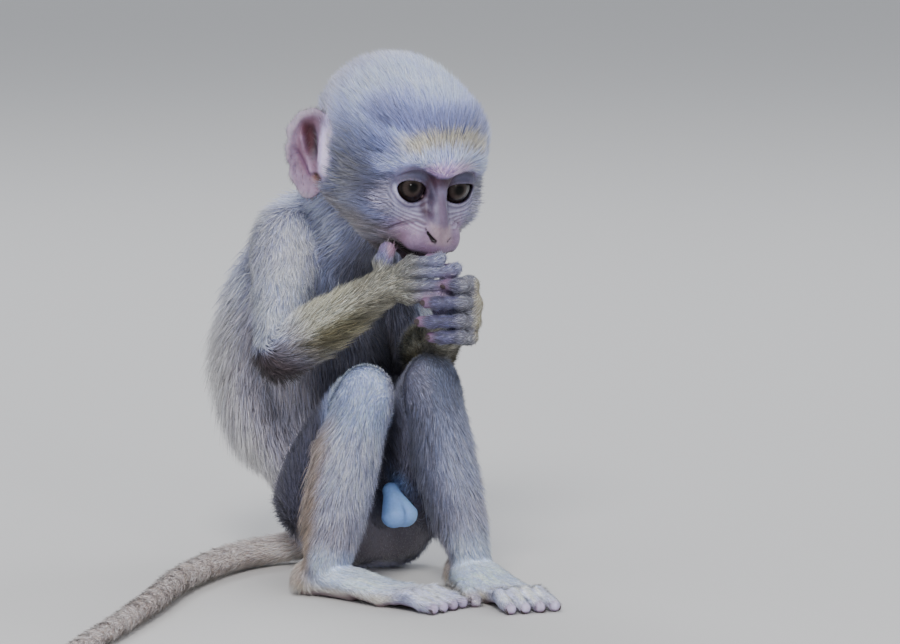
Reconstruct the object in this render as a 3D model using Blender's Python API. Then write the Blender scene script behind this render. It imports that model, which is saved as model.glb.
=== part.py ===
"""Infant vervet monkey squatting on its rump with both hands held to its mouth.

Metres, +Z up. The monkey faces -Y and its right side is -X. The origin is the
middle of the flat under the rump, on the floor plane z = 0. Sizes below are in
millimetres and each radius is given to the flesh, with the coat's depth added.
"""
import math

import bmesh
import bpy
from mathutils import Matrix, Vector

for old in list(bpy.data.objects):
    bpy.data.objects.remove(old, do_unlink=True)

MM = 0.001
GAP = 0.36            # clearance kept between neighbouring solids
CUT = 0.4             # width of the cuts that part one length from the next
SIDES = {"right": -1, "left": 1}

# Head: centre, tilt, and the sizes of the skull and eyes (local x left, y back, z up).
# The face is turned a little further than the skull
HEAD_CENTRE = Vector((-1.0, -26.0, 161.0))
HEAD_PITCH = 20.0
HEAD_ROLL = 5.0
FACE_ROLL = 5.8
FACE_YAW = 4.5
CRANIUM_CENTRE = (0.0, 3.0, 1.0)
CRANIUM_RADII = (28.7, 34.3, 28.6)
FOREHEAD_CENTRE = (0.0, -13.0, 3.0)
FOREHEAD_RADII = (25.8, 20.8, 22.2)
EYE_RADIUS = 7.6
EYE_CENTRE = (9.9, -21.5, -7.7)
EYE_OPENING = (7.2, 8.0, 5.6)
EYE_OPENING_AHEAD = 9.5
EAR_CENTRE = (28.5, 11.0, -11.5)
EAR_OUT = (0.72, -0.66, 0.05)
EAR_ALONG = (0.16, 0.12, 1.0)
EAR_RADII = (9.5, 17.0, 3.2)
EAR_HOLLOW_RADII = (6.4, 12.5, 3.0)
EAR_HOLLOW_OUT = 3.4

# Rounded masses of the face as (point, radius) along each, for the left side
PAIRED_MASSES = {
    "brow": [((18.5, -20.4, -0.6), 4.4), ((11.0, -26.4, 4.2), 4.7), ((0.0, -28.6, 3.4), 4.2)],
    "cheekbone": [((18.3, -18.0, -9.0), 5.0), ((15.5, -21.0, -16.0), 5.5), ((7.0, -26.5, -17.5), 4.4)],
    "cheek": [((14.5, -12.5, -16.0), 12.0), ((11.5, -15.5, -20.5), 11.4)],
    "jaw_corner": [((13.5, 2.0, -17.0), 11.7), ((7.5, -19.0, -28.0), 8.8)],
    "lip": [((10.6, -24.4, -24.0), 5.7), ((6.0, -30.8, -24.6), 5.9), ((0.0, -32.4, -24.8), 5.7)],
    "nostril": [((4.6, -33.2, -19.6), 2.3), ((1.8, -35.4, -21.6), 2.5)],
}
MIDDLE_MASSES = {
    "muzzle": [((0.0, -19.0, -19.0), 12.8), ((0.0, -27.0, -22.0), 9.5)],
    "bridge": [((0.0, -25.6, 1.0), 4.4), ((0.0, -28.6, -6.5), 3.0), ((0.0, -31.6, -13.0), 2.9)],
    "nose": [((0.0, -31.6, -13.0), 2.9), ((0.0, -35.0, -18.6), 3.1)],
    "chin": [((0.0, -12.0, -27.0), 9.8), ((0.0, -25.5, -32.6), 6.2)],
}
THROAT_MASS = [((0.0, 10.0, -14.0), 17.0), ((0.0, -4.0, -20.0), 14.0)]

# Neck and trunk. Each spine station is x, y, z, half the spread of its two sides, radius
NECK = [(Vector((-3.5, 17.0, 126.0)), 16.5), (Vector((-2.0, 3.0, 140.0)), 16.0)]
NECK_RADIUS_AT_HEAD = 18.5
NECK_AT_HEAD = (0.0, 8.0, -13.0)
THROAT = (Vector((-3.0, 2.0, 122.0)), 15.0)
THROAT_AT_HEAD = (0.0, -4.0, -20.0)
SPINE = [
    Vector((0.0, 1.5, 18.2, 8.5, 19.5)),
    Vector((-2.0, 9.5, 31.0, 7.0, 19.0)),
    Vector((-6.0, 25.0, 48.0, 5.0, 24.5)),
    Vector((-9.0, 38.0, 76.0, 4.0, 27.0)),
    Vector((-7.0, 28.5, 103.0, 5.5, 23.0)),
    Vector((-4.0, 20.0, 123.0, 10.0, 16.5)),
]
SPINE_BEADS = 21
BELLY = [(Vector((-3.0, 6.0, 50.0)), 20.0), (Vector((-6.0, 16.0, 80.0)), 21.0)]
CHEST = [(Vector((-6.0, 14.0, 82.0)), 20.0), (Vector((-5.0, 12.0, 108.0)), 18.0)]

# Limbs: joint centres, and radii along each length as (share of the way, radius)
SHOULDER = {"right": Vector((-24.0, 18.0, 122.0)), "left": Vector((17.0, 18.0, 122.0))}
ELBOW = {"right": Vector((-40.9, -6.8, 84.0)), "left": Vector((16.0, -9.0, 79.0))}
WRIST = {"right": Vector((-20.0, -47.0, 110.5)), "left": Vector((0.6, -54.6, 93.0))}
HIP = {"right": Vector((-18.0, 6.0, 27.0)), "left": Vector((18.0, -2.0, 27.0))}
KNEE = {"right": Vector((-25.0, -43.0, 73.0)), "left": Vector((-0.5, -47.0, 76.0))}
ANKLE = {"right": Vector((-42.0, -43.5, 11.0)), "left": Vector((10.0, -57.5, 11.0))}
UPPER_ARM = [(0.0, 13.3), (0.5, 11.3), (0.85, 9.6), (1.0, 9.0)]
FOREARM = [(0.0, 9.0), (0.28, 10.4), (0.62, 8.6), (1.0, 6.4)]
THIGH = [(0.0, 16.5), (0.35, 15.8), (0.72, 12.3), (0.9, 10.0), (1.0, 9.3)]
SHIN = {
    "right": [(0.0, 9.2), (0.3, 11.5), (0.62, 10.4), (0.88, 8.6), (1.0, 7.4)],
    "left": [(0.0, 9.2), (0.3, 11.0), (0.62, 9.4), (0.88, 7.6), (1.0, 7.0)],
}
CALF_BACK = Vector((0.0, 2.0, 0.0))

# Hands, in axes turned about Z: height and reach of each finger, then each joint as
# (share of the reach, across, ahead, up), and the shift from one finger to the next
HAND_TURN = -30.0
FINGERS = {
    "right": [(121.2, 24.8), (116.8, 30.4), (112.0, 29.8), (107.8, 28.4)],
    "left": [(112.8, 28.6), (106.4, 21.4), (99.6, 19.4), (94.0, 23.2)],
}
FINGER = {
    "right": [(0.0, 15.6, 56.5, -0.4), (1.0, 0.0, 58.0, 0.2), (1.0, 1.6, 52.0, 0.6), (1.0, -2.5, 49.0, 0.4)],
    "left": [(0.0, 37.4, 57.5, -0.6), (0.0, 34.6, 64.0, 0.3), (1.0, 4.5, 64.0, 0.0), (1.0, 0.0, 61.2, -0.2)],
}
FINGER_SHIFT = {"right": (0.0, 0.0), "left": (-0.3, -0.4)}
FINGER_RADII = (4.8, 3.3, 2.9, 2.7, 2.4)
THUMB = {
    "right": [(5.8, 50.0, 118.5), (7.9, 48.4, 124.6)],
    "left": [(30.0, 54.0, 101.0), (27.0, 57.0, 107.0)],
}
LEFT_PALM = [((33.0, 54.0, 99.0), 5.7), ((33.0, 55.0, 107.0), 5.3)]
LEFT_HAND_BACK = [
    ((36.0, 56.0, 111.8), 4.0), ((36.8, 55.5, 105.0), 4.8), ((36.2, 55.0, 99.0), 4.8),
    ((34.8, 54.5, 94.8), 4.2),
]
THUMB_RADII = (4.5, 3.8, 3.0)

# Feet: toe joints as forward, share of the spread sideways, height, radius
FOOT_ANGLE = {"right": 22.3, "left": -7.0}
TOES = 4
HEEL_BACK = 7.0
HEEL_HEIGHT = 5.8
HEEL_RADIUS = 6.6
ANKLE_RADIUS = 6.2
TOE_PITCH = 3.9
TOE = [
    (3.0, 0.45, 8.0, 5.0), (30.0, 1.0, 3.2, 3.8), (43.0, 1.25, 4.6, 3.3),
    (50.0, 1.4, 3.0, 3.0), (55.0, 1.45, 2.1, 2.7),
]
BIG_TOE = [(2.0, 4.0, 6.5, 5.0), (18.0, 9.5, 3.4, 4.0), (28.0, 12.5, 2.8, 3.5), (35.0, 13.5, 2.2, 3.0)]

# Tail: laid on the floor in one long bend
TAIL = [
    Vector((-2.0, 16.0, 12.0)), Vector((-17.0, 26.0, 6.8)), Vector((-45.0, 20.0, 5.6)),
    Vector((-82.0, -10.0, 5.2)), Vector((-116.0, -50.0, 4.8)), Vector((-150.0, -88.0, 4.4)),
    Vector((-182.0, -122.0, 4.0)), Vector((-208.0, -160.0, 3.6)),
]
TAIL_BASE_RADIUS = 7.2
TAIL_TIP_RADIUS = 4.3
TAIL_BEADS = 32
TAIL_CUTS = (6, 12, 19, 25)

SCROTUM = Vector((-1.5, -25.0, 24.5))
SCROTUM_ROOT = Vector((-0.5, 5.0, 7.5))
SCROTUM_LOBE = Vector((2.4, -0.3, -0.5))
SCROTUM_RADII = (3.0, 4.9)

# Cuts that part the lengths: centre, direction across the cut, radius of the disc
NECK_TOP_CUT = (Vector((-2.0, -3.0, 143.0)), Vector((0.0, -0.8, 0.6)), 45.0)
NECK_FOOT_CUT = (Vector((-3.0, 8.0, 134.0)), Vector((0.0, -0.72, 0.69)), 40.0)
WAIST_CUT = (Vector((-8.4, 35.4, 70.0)), Vector((-3.0, 13.0, 30.0)), 60.0)
TAIL_CUT_RADIUS = 12.0
ELBOW_CUT_RADIUS = 22.0
WRIST_CUT_RADIUS = 11.0
WRIST_CUT_SHARE = 0.97
KNEE_CUT_RADIUS = 36.0
ANKLE_CUT_RADIUS = 12.0
ANKLE_CUT_SHARE = 0.14

# Fineness of each melted body: voxel, smoothing rounds, facets
AXIS_MESH = (1.2, 5, 1990)
ARM_MESH = (0.7, 4, 760)
LEG_MESH = (0.8, 3, 700)
SCROTUM_MESH = (0.6, 3, 130)
EAR_FACETS = 180
HOLLOW_FACETS = 110
FLOOR_SIZE = (800.0, 800.0, 40.0)


def turn_by(pitch, roll, yaw=0.0):
    """Turn in degrees by yaw about Z, then roll about Y, then pitch about X."""
    about_x = Matrix.Rotation(math.radians(pitch), 3, "X")
    about_y = Matrix.Rotation(math.radians(roll), 3, "Y")
    return about_x @ about_y @ Matrix.Rotation(math.radians(yaw), 3, "Z")


HEAD_TURN = turn_by(HEAD_PITCH, HEAD_ROLL)
FACE_TURN = turn_by(HEAD_PITCH, FACE_ROLL, FACE_YAW)


def head_point(x, y, z):
    """A point given in the skull's own axes."""
    return HEAD_CENTRE + HEAD_TURN @ Vector((x, y, z))


def face_point(x, y, z):
    """A point given in the face's own axes."""
    return HEAD_CENTRE + FACE_TURN @ Vector((x, y, z))


def turned(across, ahead, up):
    """A point in axes turned about Z, along which the hands are laid out."""
    turn = math.radians(HAND_TURN)
    x = across * math.cos(turn) + ahead * math.sin(turn)
    y = across * math.sin(turn) - ahead * math.cos(turn)
    return Vector((x, y, up))


def unit_directions():
    """Even directions all round, from a unit icosphere."""
    bm = bmesh.new()
    bmesh.ops.create_icosphere(bm, subdivisions=3, radius=1.0)
    directions = [v.co.copy() for v in bm.verts]
    bm.free()
    return directions


DIRECTIONS = unit_directions()


def add_ellipsoid(bm, centre, radii, turn):
    """A closed ellipsoid with half axes radii along the columns of turn."""
    shape = Matrix.Translation(centre) @ turn.to_4x4() @ Matrix.Diagonal((*radii, 1.0))
    bmesh.ops.create_icosphere(bm, subdivisions=4, radius=1.0, matrix=shape)


def add_chain(bm, balls):
    """Round tapered links from each ball to the next, each one closed."""
    for (a, ra), (b, rb) in zip(balls, balls[1:]):
        points = [a + ra * d for d in DIRECTIONS] + [b + rb * d for d in DIRECTIONS]
        verts = [bm.verts.new(p) for p in points]
        hull = bmesh.ops.convex_hull(bm, input=verts)
        inside = [v for v in hull["geom_interior"] if isinstance(v, bmesh.types.BMVert)]
        bmesh.ops.delete(bm, geom=inside, context="VERTS")


def new_object(name, bm, scale=MM):
    """An object made from a mesh in millimetres."""
    bmesh.ops.scale(bm, vec=(scale, scale, scale), verts=bm.verts)
    bmesh.ops.recalc_face_normals(bm, faces=bm.faces)
    mesh = bpy.data.meshes.new(name)
    bm.to_mesh(mesh)
    bm.free()
    obj = bpy.data.objects.new(name, mesh)
    bpy.context.scene.collection.objects.link(obj)
    return obj


def apply_modifiers(obj):
    """Turn the object's modifiers into its mesh."""
    graph = bpy.context.evaluated_depsgraph_get()
    mesh = bpy.data.meshes.new_from_object(obj.evaluated_get(graph), depsgraph=graph)
    obj.modifiers.clear()
    obj.data = mesh


def triangle_count(obj):
    """Triangles in the object's mesh."""
    return sum(len(p.vertices) - 2 for p in obj.data.polygons)


def triangulate(obj):
    """Make every face a triangle."""
    bm = bmesh.new()
    bm.from_mesh(obj.data)
    bmesh.ops.triangulate(bm, faces=bm.faces)
    bm.to_mesh(obj.data)
    bm.free()


def skin_over(obj, voxel, rounds, triangles):
    """Melt overlapping closed shapes into one smooth body with few facets."""
    remesh = obj.modifiers.new("melt", "REMESH")
    remesh.mode = "VOXEL"
    remesh.voxel_size = voxel * MM
    smooth = obj.modifiers.new("smooth", "SMOOTH")
    smooth.factor = 0.5
    smooth.iterations = rounds
    apply_modifiers(obj)
    thin = obj.modifiers.new("facets", "DECIMATE")
    thin.ratio = min(1.0, triangles / triangle_count(obj))
    apply_modifiers(obj)
    triangulate(obj)


def grown(obj, amount):
    """A copy of the object standing off it by a clearance on all sides."""
    cutter = obj.copy()
    cutter.data = obj.data.copy()
    bpy.context.scene.collection.objects.link(cutter)
    bm = bmesh.new()
    bm.from_mesh(cutter.data)
    bm.normal_update()
    moves = [v.normal * (amount * MM * min(v.calc_shell_factor(), 2.0)) for v in bm.verts]
    for vert, move in zip(bm.verts, moves):
        vert.co += move
    bm.to_mesh(cutter.data)
    bm.free()
    return cutter


def carve(obj, cutter):
    """Take the cutter's volume out of the object, then drop the cutter."""
    cutter.hide_render = True
    cutter.display_type = "WIRE"
    boolean = obj.modifiers.new("carve", "BOOLEAN")
    boolean.operation = "DIFFERENCE"
    boolean.solver = "EXACT"
    boolean.object = cutter
    apply_modifiers(obj)
    bpy.data.objects.remove(cutter, do_unlink=True)


def islands(bm):
    """The separate bodies of a mesh, as lists of faces."""
    left = set(bm.faces)
    found = []
    while left:
        stack = [left.pop()]
        body = []
        while stack:
            face = stack.pop()
            body.append(face)
            for edge in face.edges:
                for other in edge.link_faces:
                    if other in left:
                        left.remove(other)
                        stack.append(other)
        found.append(body)
    return found


def body_volume(faces):
    """Signed volume enclosed by triangles, and the mean of their corners."""
    volume = 0.0
    centre = Vector()
    for face in faces:
        a, b, c = (v.co for v in face.verts)
        volume += a.dot(b.cross(c)) / 6.0
        centre += (a + b + c) / 3.0
    return volume, centre / len(faces)


def part_bodies(obj, named_points):
    """Give each separate body of the object the name whose point it holds."""
    triangulate(obj)
    bm = bmesh.new()
    bm.from_mesh(obj.data)
    bmesh.ops.remove_doubles(bm, verts=bm.verts, dist=0.02 * MM)
    bmesh.ops.dissolve_degenerate(bm, edges=bm.edges, dist=0.01 * MM)
    bmesh.ops.triangulate(bm, faces=bm.faces)
    bodies = [(body_volume(faces), faces) for faces in islands(bm)]
    bodies.sort(key=lambda item: -abs(item[0][0]))
    bodies = bodies[:len(named_points)]
    made = {}
    for name, point in named_points.items():
        target = point * MM
        best = min(bodies, key=lambda item: (item[0][1] - target).length)
        bodies.remove(best)
        copy = bmesh.new()
        verts = {}
        for face in best[1]:
            corners = []
            for vert in face.verts:
                if vert not in verts:
                    verts[vert] = copy.verts.new(vert.co)
                corners.append(verts[vert])
            copy.faces.new(corners)
        made[name] = new_object(name, copy, 1.0)
    bm.free()
    bpy.data.objects.remove(obj, do_unlink=True)
    return made


def add_cut(obj, centre, normal, radius):
    """Part a body by a thin disc across it."""
    bm = bmesh.new()
    turn = normal.to_track_quat("Z", "Y").to_matrix()
    place = Matrix.Translation(centre) @ turn.to_4x4()
    bmesh.ops.create_cone(
        bm, cap_ends=True, segments=12, radius1=radius, radius2=radius, depth=CUT, matrix=place)
    carve(obj, new_object("cut", bm))


def floor_cut(obj):
    """Leave small flats where the body rests on the floor."""
    bm = bmesh.new()
    low = Matrix.Translation((0.0, 0.0, -FLOOR_SIZE[2] / 2))
    bmesh.ops.create_cube(bm, size=1.0, matrix=low @ Matrix.Diagonal((*FLOOR_SIZE, 1.0)))
    carve(obj, new_object("floor", bm))


def curve_through(points, count):
    """Evenly shared places along a smooth curve through points of any width."""
    last = len(points) - 1
    places = []
    for step in range(count):
        share = step * last / (count - 1)
        i = min(int(share), last - 1)
        f = share - i
        before, here = points[max(i - 1, 0)], points[i]
        there, after = points[i + 1], points[min(i + 2, last)]
        bend = (there - before) * f
        bend += (2 * before - 5 * here + 4 * there - after) * f * f
        bend += (3 * here - before - 3 * there + after) * f * f * f
        places.append(here + 0.5 * bend)
    return places


def build_head(bm):
    """Skull, brow, cheeks, muzzle, nose and jaw."""
    add_ellipsoid(bm, head_point(*CRANIUM_CENTRE), CRANIUM_RADII, HEAD_TURN)
    add_ellipsoid(bm, face_point(*FOREHEAD_CENTRE), FOREHEAD_RADII, FACE_TURN)
    for mass in PAIRED_MASSES.values():
        for s in SIDES.values():
            add_chain(bm, [(face_point(s * x, y, z), r) for (x, y, z), r in mass])
    for mass in MIDDLE_MASSES.values():
        add_chain(bm, [(face_point(*point), r) for point, r in mass])
    add_chain(bm, [(head_point(*point), r) for point, r in THROAT_MASS])


def build_trunk(bm):
    """Neck, throat, back, chest and belly."""
    add_chain(bm, NECK + [(head_point(*NECK_AT_HEAD), NECK_RADIUS_AT_HEAD)])
    add_chain(bm, [THROAT, (head_point(*THROAT_AT_HEAD), THROAT[1])])
    stations = curve_through(SPINE, SPINE_BEADS)
    for s in SIDES.values():
        add_chain(bm, [(Vector((v[0] + s * v[3], v[1], v[2])), v[4]) for v in stations])
    for v in stations:
        add_chain(bm, [(Vector((v[0] + s * v[3], v[1], v[2])), v[4]) for s in SIDES.values()])
    add_chain(bm, BELLY)
    add_chain(bm, CHEST)


def build_tail(bm):
    """The tail as one tapering chain of beads."""
    step = (TAIL_TIP_RADIUS - TAIL_BASE_RADIUS) / (TAIL_BEADS - 1)
    add_chain(bm, [(c, TAIL_BASE_RADIUS + step * i) for i, c in enumerate(curve_through(TAIL, TAIL_BEADS))])


def add_length(bm, top, bottom, profile, bow=None):
    """One length of a limb, with its radius read from the profile."""
    balls = []
    for i, (share, radius) in enumerate(profile):
        point = top.lerp(bottom, share)
        if bow and i == 1:
            point = point + bow
        balls.append((point, radius))
    add_chain(bm, balls)


def build_arm(bm, side):
    """Upper arm and forearm."""
    add_length(bm, SHOULDER[side], ELBOW[side], UPPER_ARM)
    add_length(bm, ELBOW[side], WRIST[side], FOREARM)


def build_hand(bm, side):
    """Four bent fingers side by side and a thumb, all from the wrist."""
    shift_across, shift_ahead = FINGER_SHIFT[side]
    for i, (height, reach) in enumerate(FINGERS[side]):
        joints = [
            turned(share * reach + across + i * shift_across, ahead + i * shift_ahead, height + up)
            for share, across, ahead, up in FINGER[side]]
        add_chain(bm, list(zip([WRIST[side]] + joints, FINGER_RADII)))
    joints = [turned(*joint) for joint in THUMB[side]]
    add_chain(bm, list(zip([WRIST[side]] + joints, THUMB_RADII)))
    if side == "left":
        add_chain(bm, [(WRIST[side], THUMB_RADII[0])] + [(turned(*point), r) for point, r in LEFT_PALM])
        add_chain(bm, [(turned(*point), r) for point, r in LEFT_HAND_BACK])


def build_leg(bm, side):
    """Thigh and shin."""
    add_length(bm, HIP[side], KNEE[side], THIGH)
    add_length(bm, KNEE[side], ANKLE[side], SHIN[side], CALF_BACK)


def build_foot(bm, side):
    """Heel, sole, four toes and the big toe on the inner side."""
    turn = math.radians(FOOT_ANGLE[side])
    ahead = Vector((math.sin(turn), -math.cos(turn), 0.0))
    across = Vector((math.cos(turn), math.sin(turn), 0.0))

    def sole_point(forward, sideways, height):
        point = ANKLE[side] + forward * ahead + sideways * across
        return Vector((point.x, point.y, height))

    heel = sole_point(-HEEL_BACK, 0.0, HEEL_HEIGHT)
    add_chain(bm, [(ANKLE[side], ANKLE_RADIUS), (heel, HEEL_RADIUS)])
    for i in range(TOES):
        out = (i - (TOES - 1) / 2) * TOE_PITCH
        add_chain(bm, [(sole_point(forward, share * out, z), r) for forward, share, z, r in TOE])
    inner = -SIDES[side]
    add_chain(bm, [(sole_point(forward, inner * aside, z), r) for forward, aside, z, r in BIG_TOE])


def build_scrotum(bm):
    """Two joined lobes hanging before the rump."""
    for s in SIDES.values():
        lobe = Vector((s * SCROTUM_LOBE.x, SCROTUM_LOBE.y, SCROTUM_LOBE.z))
        add_chain(bm, list(zip([SCROTUM + SCROTUM_ROOT, SCROTUM + lobe], SCROTUM_RADII)))


def coarse_ellipsoid(name, centre, radii, axes, triangles):
    """An ellipsoid of few facets as an object."""
    bm = bmesh.new()
    add_ellipsoid(bm, centre, radii, axes)
    obj = new_object(name, bm)
    facets = obj.modifiers.new("facets", "DECIMATE")
    facets.ratio = triangles / triangle_count(obj)
    apply_modifiers(obj)
    return obj


def build_ear(side):
    """A thin oval cup, hollow on its outer face."""
    s = SIDES[side]
    centre = head_point(s * EAR_CENTRE[0], *EAR_CENTRE[1:])
    out = Vector((s * EAR_OUT[0], *EAR_OUT[1:])).normalized()
    along = Vector((s * EAR_ALONG[0], *EAR_ALONG[1:]))
    along = (along - out * along.dot(out)).normalized()
    axes = HEAD_TURN @ Matrix((along.cross(out), along, out)).transposed()
    ear = coarse_ellipsoid("ear_" + side, centre, EAR_RADII, axes, EAR_FACETS)
    hollow_centre = centre + axes @ Vector((0.0, 0.0, EAR_HOLLOW_OUT))
    carve(ear, coarse_ellipsoid("hollow", hollow_centre, EAR_HOLLOW_RADII, axes, HOLLOW_FACETS))
    return ear


def build_eye(side):
    """An eyeball."""
    centre = face_point(SIDES[side] * EYE_CENTRE[0], *EYE_CENTRE[1:])
    bm = bmesh.new()
    place = Matrix.Translation(centre) @ FACE_TURN.to_4x4()
    bmesh.ops.create_uvsphere(bm, u_segments=12, v_segments=8, radius=EYE_RADIUS, matrix=place)
    return new_object("eye_" + side, bm)


def open_eye(head, side):
    """Open the lids in front of an eyeball and clear its socket."""
    s = SIDES[side]
    ahead = face_point(s * EYE_CENTRE[0], EYE_CENTRE[1] - EYE_OPENING_AHEAD, EYE_CENTRE[2])
    carve(head, coarse_ellipsoid("opening", ahead, EYE_OPENING, FACE_TURN, HOLLOW_FACETS))
    carve(head, grown(eyes[side], GAP))


def build_body(name, fineness, *makers):
    """Melt what the makers add into one body with its flats on the floor."""
    bm = bmesh.new()
    for maker in makers:
        maker(bm)
    body = new_object(name, bm)
    skin_over(body, *fineness)
    floor_cut(body)
    return body


def limb(name, side, fineness, *makers):
    """A limb with its hand or foot as one body."""
    return build_body(name, fineness, *[lambda bm, make=make: make(bm, side) for make in makers])


axis = build_body("axis", AXIS_MESH, build_head, build_trunk, build_tail)
ears = {side: build_ear(side) for side in SIDES}
eyes = {side: build_eye(side) for side in SIDES}
arms = {side: limb("arm", side, ARM_MESH, build_arm, build_hand) for side in SIDES}
legs = {side: limb("leg", side, LEG_MESH, build_leg, build_foot) for side in SIDES}
scrotum = build_body("scrotum", SCROTUM_MESH, build_scrotum)

# What meets is parted by its neighbour: the axis first, then right before left
for piece in (*ears.values(), *arms.values(), *legs.values(), scrotum):
    carve(piece, grown(axis, GAP))
carve(arms["left"], grown(arms["right"], GAP))
carve(legs["left"], grown(legs["right"], GAP))
carve(legs["left"], grown(arms["left"], GAP))
for side in SIDES:
    carve(scrotum, grown(legs[side], GAP))
    open_eye(axis, side)

tail_path = curve_through(TAIL, TAIL_BEADS)
for cut in (NECK_TOP_CUT, NECK_FOOT_CUT, WAIST_CUT):
    add_cut(axis, *cut)
for place in TAIL_CUTS:
    add_cut(axis, tail_path[place], tail_path[place + 1] - tail_path[place - 1], TAIL_CUT_RADIUS)

nodes = part_bodies(axis, {
    "head": HEAD_CENTRE,
    "neck": NECK_TOP_CUT[0].lerp(NECK_FOOT_CUT[0], 0.5),
    "trunk_upper": CHEST[1][0],
    "trunk_lower": BELLY[0][0],
    "tail_1": tail_path[9],
    "tail_2": tail_path[15],
    "tail_3": tail_path[22],
    "tail_4": tail_path[28],
})

for side in SIDES:
    top, bend, end = SHOULDER[side], ELBOW[side], WRIST[side]
    add_cut(arms[side], bend, (top - bend).normalized() - (end - bend).normalized(), ELBOW_CUT_RADIUS)
    add_cut(arms[side], bend.lerp(end, WRIST_CUT_SHARE), end - bend, WRIST_CUT_RADIUS)
    nodes.update(part_bodies(arms[side], {
        "upper_arm_" + side: top.lerp(bend, 0.5),
        "forearm_" + side: bend.lerp(end, 0.5),
        "hand_" + side: bend.lerp(end, 1.2),
    }))
    top, bend, end = HIP[side], KNEE[side], ANKLE[side]
    add_cut(legs[side], bend, (top - bend).normalized() - (end - bend).normalized(), KNEE_CUT_RADIUS)
    add_cut(legs[side], end.lerp(bend, ANKLE_CUT_SHARE), bend - end, ANKLE_CUT_RADIUS)
    nodes.update(part_bodies(legs[side], {
        "thigh_" + side: top.lerp(bend, 0.5),
        "shin_" + side: bend.lerp(end, 0.5),
        "foot_" + side: bend.lerp(end, 1.1),
    }))
    ear_centre = head_point(SIDES[side] * EAR_CENTRE[0], *EAR_CENTRE[1:])
    nodes.update(part_bodies(ears[side], {"ear_" + side: ear_centre}))
    nodes["eye_" + side] = eyes[side]
nodes.update(part_bodies(scrotum, {"scrotum": SCROTUM}))

COLOURS = {
    "head": (0.36, 0.36, 0.42), "neck": (0.45, 0.45, 0.50), "trunk": (0.42, 0.41, 0.46),
    "tail": (0.33, 0.29, 0.26), "ear": (0.60, 0.34, 0.32), "eye": (0.03, 0.02, 0.015),
    "upper": (0.33, 0.32, 0.34), "forearm": (0.34, 0.31, 0.26), "hand": (0.32, 0.29, 0.32),
    "thigh": (0.32, 0.29, 0.27), "shin": (0.42, 0.40, 0.40), "foot": (0.50, 0.52, 0.58),
    "scrotum": (0.30, 0.55, 0.72),
}
EYE_ROUGHNESS = 0.1
COAT_ROUGHNESS = 0.85

for name, obj in nodes.items():
    obj.name = name
    obj.data.name = name
    kind = name.split("_")[0]
    material = bpy.data.materials.new(name)
    material.use_nodes = True
    shader = material.node_tree.nodes["Principled BSDF"]
    shader.inputs["Base Color"].default_value = (*COLOURS[kind], 1.0)
    shader.inputs["Roughness"].default_value = EYE_ROUGHNESS if kind == "eye" else COAT_ROUGHNESS
    obj.data.materials.clear()
    obj.data.materials.append(material)
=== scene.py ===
"""Infant vervet monkey: one skin, its coat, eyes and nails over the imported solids.

Shapes are worked out in millimetres in the row frame (+Z up, the face along -Y, the
animal's right side at -X) and become meshes in metres.
"""
import math

import bpy
import numpy as np
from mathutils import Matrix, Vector


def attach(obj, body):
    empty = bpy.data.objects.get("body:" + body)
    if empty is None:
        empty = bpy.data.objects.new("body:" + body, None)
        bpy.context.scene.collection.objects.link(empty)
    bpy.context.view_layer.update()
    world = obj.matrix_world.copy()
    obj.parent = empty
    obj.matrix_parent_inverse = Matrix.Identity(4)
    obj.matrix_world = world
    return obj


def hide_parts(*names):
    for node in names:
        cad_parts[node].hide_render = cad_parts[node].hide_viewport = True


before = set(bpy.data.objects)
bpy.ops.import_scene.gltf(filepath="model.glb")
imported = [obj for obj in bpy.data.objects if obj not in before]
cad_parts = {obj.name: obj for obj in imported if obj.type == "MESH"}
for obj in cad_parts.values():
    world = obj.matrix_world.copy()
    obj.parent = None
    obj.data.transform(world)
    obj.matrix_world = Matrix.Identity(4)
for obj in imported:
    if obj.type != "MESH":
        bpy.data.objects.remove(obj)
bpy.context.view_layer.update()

MM = 0.001
SIDES = {"right": -1, "left": 1}
SIGNS = tuple(SIDES.values())
FLESH_NODES = [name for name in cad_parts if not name.startswith("eye_")]


def vec(*values):
    """A row of numbers as an array."""
    return np.array(values, float)


def unit(v):
    """Vectors scaled to length one."""
    return v / np.maximum(np.linalg.norm(v, axis=-1, keepdims=True), 1e-9)


def step(x, start, end):
    """A smooth rise from 0 at start to 1 at end."""
    t = np.clip((x - start) / (end - start), 0, 1)
    return t * t * (3 - 2 * t)


def fall(x, start, end):
    """A smooth drop from 1 at start to 0 at end."""
    return 1 - step(x, start, end)


def band(value, middle, width):
    """A soft line: 1 at the middle of a range, 0 away from it."""
    return np.exp(-((value - middle) / width) ** 2)


def turn(pitch, roll, yaw=0):
    """Rotation in degrees by yaw about Z, then roll about Y, then pitch about X."""
    p, r, w = math.radians(pitch), math.radians(roll), math.radians(yaw)
    about_x = np.array([[1, 0, 0], [0, math.cos(p), -math.sin(p)], [0, math.sin(p), math.cos(p)]])
    about_y = np.array([[math.cos(r), 0, math.sin(r)], [0, 1, 0], [-math.sin(r), 0, math.cos(r)]])
    about_z = np.array([[math.cos(w), -math.sin(w), 0], [math.sin(w), math.cos(w), 0], [0, 0, 1]])
    return about_x @ about_y @ about_z


# ---------------------------------------------------------------- skeleton
HEAD_CENTRE = vec(-1, -26, 161)
HEAD_TURN = turn(20, 5)
FACE_TURN = turn(20, 5.8, 4.5)
EYE = vec(9.9, -21.5, -7.7)
EYE_RADIUS = 7.6
LID_THICKNESS = 1.0
EYE_GAP = 0.12
EYE_HALF = {-1: (6.4, 4.3, 3.8), 1: (6.6, 3.8, 4.2)}   # the opening's half width, and height above and below
EYE_SLANT = {-1: math.radians(16), 1: math.radians(3)}

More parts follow.
